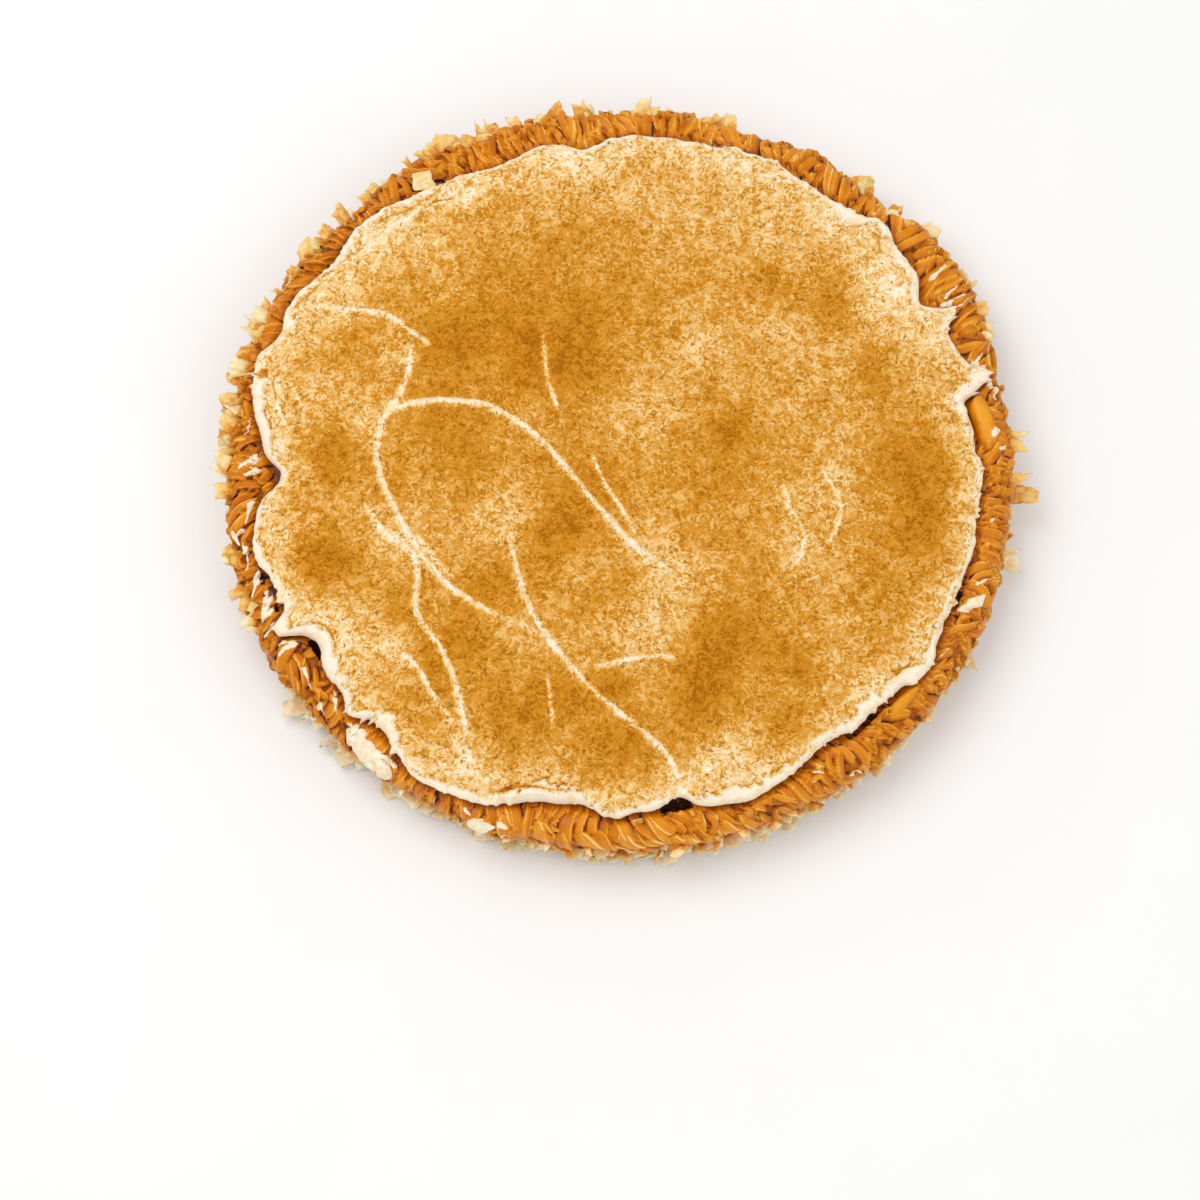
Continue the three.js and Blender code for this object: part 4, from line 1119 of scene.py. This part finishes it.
def fray(grid, draw, depth):
    """Torn points this deep at the end of a flake, small nicks at its sides and fine waves."""
    rows, columns = grid.shape[:2]
    shift = draw(0, 500)
    u, v = np.meshgrid(np.linspace(0, 1, rows), np.linspace(-1, 1, columns), indexing="ij")
    x, y = grid[..., 0].copy(), grid[..., 1].copy()
    torn = jagged(y / 1.7 + shift) + 0.5 * jagged(y / 0.7 + shift)
    grid[..., 0] = x - depth * u**2 * torn
    grid[..., 1] = y * (1 - 0.3 * v**4 * jagged(x / 1.5 + shift + 3 * (v > 0)))
    grid[..., 2] += 0.15 * layered_noise(x + shift, y, 3.2, 2)
    return grid


def planted(points, angle, radius, z, pitch, roll, yaw):
    """Turns a level flake by its degrees of pitch, roll and yaw, so that it stands out from the pie."""
    pitch, roll, yaw = (math.radians(degrees) for degrees in (pitch, roll, yaw))
    turn = Matrix.Rotation(angle + yaw, 3, "Z") @ Matrix.Rotation(-pitch, 3, "Y")
    return points @ np.array(turn @ Matrix.Rotation(roll, 3, "X")).T + polar(radius, angle, z)


def tip_paler(points, tone):
    """Tone values of a level flake that is more golden at its root than at its tip."""
    return tone + 0.45 * (0.5 - points[:, 0] / points[:, 0].max())


class Heap:
    """Many plates gathered into one mesh."""

    def __init__(self):
        self.points, self.triangles, self.tone, self.count = [], [], [], 0

    def add(self, points, triangles, tone):
        self.points.append(points)
        self.triangles.append(triangles + self.count)
        self.tone.append(np.zeros(len(points)) + tone)
        self.count += len(points)

    def piece(self, name, material, slot_name, replaced=()):
        fill = {"tone": np.concatenate(self.tone)}
        points, triangles = np.vstack(self.points), np.vstack(self.triangles)
        make_piece(name, points, triangles, material, replaced, fill)


def large_flakes(material):
    """One piece for each large flake, in its solid's place."""
    for number, (degrees, reach, width, z, pitch, tone) in enumerate(LARGE_FLAKES):
        draw = random_source(900 + 17 * number)
        radius = BORDER_RADIUS - LARGE_FLAKE_DEPTH
        grid = flake_grid(reach - radius, width, draw, 3, 2)
        roll, yaw = draw(-14, 14), draw(-16, 16)
        torn = 1.6 if z > 10 else 7.0
        fine = fray(stretch(grid, 19, max(9, 2 * round(width * 0.9) + 1)), draw, torn)
        points, triangles = plate(fine, LEAF_THICKNESS)
        heap = Heap()
        turned = planted(points, math.radians(degrees), radius, z, pitch, roll, yaw)
        heap.add(turned, triangles, tip_paler(points, tone))
        heap.piece(f"leaf_{number + 1:02d}", material, "pastry_flake", [f"pastry_flake_{number + 1:02d}"])


def fused_flakes(heap, count, seed, lowest, highest):
    """The small flakes that the solids carry, in their places."""
    draw = random_source(seed)
    for k in range(count):
        length, width = draw(6.5, 9.5), draw(4, 8)
        grid = flake_grid(length, width, draw, 2, 1)
        angle = FULL_TURN * (k + draw(-0.35, 0.35)) / count
        z, pitch, roll, yaw = draw(lowest, highest), draw(-5, 40), draw(-40, 40), draw(-40, 40)
        points, triangles = plate(fray(stretch(grid, 9, 7), draw, 2.0), LEAF_THICKNESS)
        turned = planted(points, angle, BORDER_RADIUS - SMALL_FLAKE_DEPTH, z, pitch, roll, yaw)
        heap.add(turned, triangles, tip_paler(points, draw(0.1, 0.7)))


def loose_flakes(heap, count, seed, low, high, radius, lengths, widths, pitches, twist, tones, places=()):
    """More small flakes in a belt round the side, between two heights, all round or only at some places."""
    draw = random_source(seed)
    for k in range(count):
        angle = FULL_TURN * (k + draw(-0.5, 0.5)) / count
        length, width = draw(*lengths), draw(*widths)
        grid = flake_grid(length, width, draw, 2, 2)
        fine = fray(stretch(grid, 6, 6), draw, 1.2)
        points, triangles = plate(fine, draw(0.2, 0.35))
        pitch, roll, yaw = draw(*pitches), draw(-twist, twist), draw(-twist, twist)
        z = draw(low, high)
        turned = planted(points, angle, draw(*radius), z, pitch, roll, yaw)
        tone, chance = draw(*tones), draw()
        below, above = turned.min(axis=0) * MM - cad_box[0], cad_box[1] - turned.max(axis=0) * MM
        inside = min(below.min(), above.min()) > 0.1 * MM
        if inside and (not places or chance < bumps_at(angle, places)):
            heap.add(turned, triangles, tip_paler(points, tone))


def flat_leaf(heap):
    """The pale leaf that lies flat on the border at the back left."""
    draw = random_source(23)
    grid = flake_grid(8, 9.5, draw, 2, 1)
    points, triangles = plate(fray(stretch(grid, 9, 9), draw, 0.3), 0.3)
    heap.add(planted(points, math.radians(124), CREAM_RADIUS, 29.0, -6, 5.73, -18), triangles, 0.2)


def cream_dabs(material):
    """The dabs of cream on the border, one piece for each."""
    for number, (degrees, length, width, height, middle, slant) in enumerate(CREAM_DABS):
        half = length / 2 / BORDER_RADIUS
        rows = []
        for share in np.linspace(0, 1, round(length * 3))[1:-1]:
            turn = -FULL_TURN * np.arange(DAB_POINTS) / DAB_POINTS
            place = share * length + 20.0 * number
            swell = math.sin(math.pi * share) ** 0.5 * (0.4 + 1.2 * jagged(np.array(place / 3.1)))
            rough = 1 + 0.6 * value_noise(place * 0.6 + 1.5 * np.cos(turn), 2 * np.sin(turn))
            rough += 0.14 * value_noise(place * 1.3 + 3 * np.cos(turn), 4 * np.sin(turn))
            across = 0.5 * width * swell * np.sin(turn) * rough
            proud = 0.8 + 0.8 * height * swell * np.cos(turn) * rough
            angle = math.radians(degrees) + half * (2 * share - 1)
            sway = 1.2 * value_noise(np.array(place / 3.7), np.array(0.5)) * math.sin(math.pi * share)
            lane = middle + (slant * (share - 0.5) + sway + across) / BORDER_LINE
            rows.append(border_point(lane, np.full(DAB_POINTS, angle), proud))
        ends = []
        for side in (-1, 1):
            lane = np.array([middle + 0.5 * side * slant / BORDER_LINE])
            ends.append(border_point(lane, np.array([math.radians(degrees) + side * half]), 1.0))
        points, triangles = skin([ends[0], *rows, ends[1]])
        name = f"cream_dab_{number + 1}"
        make_piece(f"smear_{number + 1}", points, triangles, material, [name])


def cinnamon_grains():
    """Coarser grains of cinnamon lying on the cream, thicker where the dusting is."""
    random = np.random.default_rng(19)
    angle = random.random(GRAINS) * FULL_TURN
    radius = np.sqrt(random.random(GRAINS)) * (cream_reach(angle) - 4)
    place = polar(radius, angle, 0.0)
    x, y = place[:, 0], place[:, 1]
    kept = random.random(GRAINS) < np.clip(dust_at(x, y), 0.05, 1) ** 2
    x, y = x[kept], y[kept]
    z = cream_surface(x, y) + fold_field(x, y)[0] + cream_relief(x, y)
    corners = np.array([(1, 0, 0), (0, 1, 0), (-1, 0, 0), (0, -1, 0), (0, 0, 1), (0, 0, -1)], float)
    faces = np.array([(0, 1, 4), (1, 2, 4), (2, 3, 4), (3, 0, 4), (1, 0, 5), (2, 1, 5), (3, 2, 5), (0, 3, 5)])
    size = random.uniform(0.14, 0.3, (len(x), 1, 1)) * random.uniform(0.5, 1.2, (len(x), 1, 3))
    size = size * np.array([1, 1, 0.25])
    turn = random.random(len(x)) * FULL_TURN
    level_x, level_y, level_z = np.moveaxis(corners[None] * size, -1, 0)
    cos, sin = np.cos(turn)[:, None], np.sin(turn)[:, None]
    spun = np.stack([level_x * cos - level_y * sin, level_x * sin + level_y * cos, level_z], axis=-1)
    points = spun + np.stack([x, y, z + 0.03], axis=1)[:, None]
    triangles = faces[None] + 6 * np.arange(len(x))[:, None, None]
    make_piece("cinnamon_grains", points.reshape(-1, 3), triangles.reshape(-1, 3), cinnamon())


# Floor, light and camera


def make_floor():
    bpy.ops.mesh.primitive_plane_add(size=3)
    floor = bpy.context.object
    floor.name = "floor"
    s = Shader("floor", Roughness=0.8, Specular_IOR_Level=0.1)
    white = s.ramp(s.noise(60), (0.0, colour(246, 246, 245)), (1.0, colour(250, 250, 249)))
    floor.data.materials.append(s.paint(white))


def area_light(name, place, aim, size, power):
    light = bpy.data.lights.new(name, "AREA")
    light.energy = power
    light.size = size
    lamp = bpy.data.objects.new(name, light)
    lamp.location = place
    lamp.rotation_euler = (Vector(aim) - Vector(place)).to_track_quat("-Z", "Y").to_euler()
    bpy.context.scene.collection.objects.link(lamp)


def make_light():
    world = bpy.data.worlds.new("studio")
    world.use_nodes = True
    background = world.node_tree.nodes["Background"]
    background.inputs["Color"].default_value = (1, 1, 1, 1)
    background.inputs["Strength"].default_value = 0.7
    bpy.context.scene.world = world
    area_light("key", (-0.32, 0.14, 0.9), (0, 0, 0), 0.6, 3.4)
    area_light("fill", (0.6, -0.5, 0.8), (0, 0, 0), 0.8, 1.6)
    bpy.context.scene.view_settings.view_transform = "Standard"


def make_camera():
    """The photograph's view, from the front and high above, aimed at a place on the floor."""
    distance, elevation, aim = 0.8, math.radians(74.5), Vector((-6.2, -35.2, 0)) * MM
    back = Vector((0, -math.cos(elevation), math.sin(elevation)))
    data = bpy.data.cameras.new("camera")
    data.sensor_width = 36
    data.lens = 77.2
    camera = bpy.data.objects.new("camera", data)
    camera.location = aim + distance * back
    camera.rotation_euler = (-back).to_track_quat("-Z", "Y").to_euler()
    bpy.context.scene.collection.objects.link(camera)
    bpy.context.scene.camera = camera


def make_pie():
    make_base()
    make_caramel()
    make_cream()
    cinnamon_grains()
    leaf = flaky_pastry("pale_leaf", colour(253, 232, 190), colour(243, 196, 108))
    large_flakes(leaf)
    on_side, at_foot = Heap(), Heap()
    fused_flakes(on_side, 22, 77, CARAMEL_FLOOR + 1.5, 17)
    loose_flakes(on_side, 230, 31, 8, 21, (115, 118), (3.5, 6), (2, 6), (-5, 40), 45, (0.0, 0.6))
    upper = (116, 118.5), (5, 10), (3, 9), (-10, 30), 35, (0.1, 0.8), UPPER_LEAVES
    loose_flakes(on_side, 330, 91, 18, 24, *upper)
    flat_leaf(on_side)
    on_side.piece("side_leaves", leaf, "pastry_flake")
    fused_flakes(at_foot, 14, 53, 2, BASE_HEIGHT - 2)
    loose_flakes(at_foot, 360, 67, 1.2, 8.5, (114, 116), (3.5, 7), (4, 11), (-6, 12), 16, (-0.05, 0.32))
    at_foot.piece("foot_leaves", leaf, "pastry_flake")
    cream_dabs(plain_cream())


make_pie()
make_floor()
make_light()
make_camera()

bpy.context.view_layer.update()
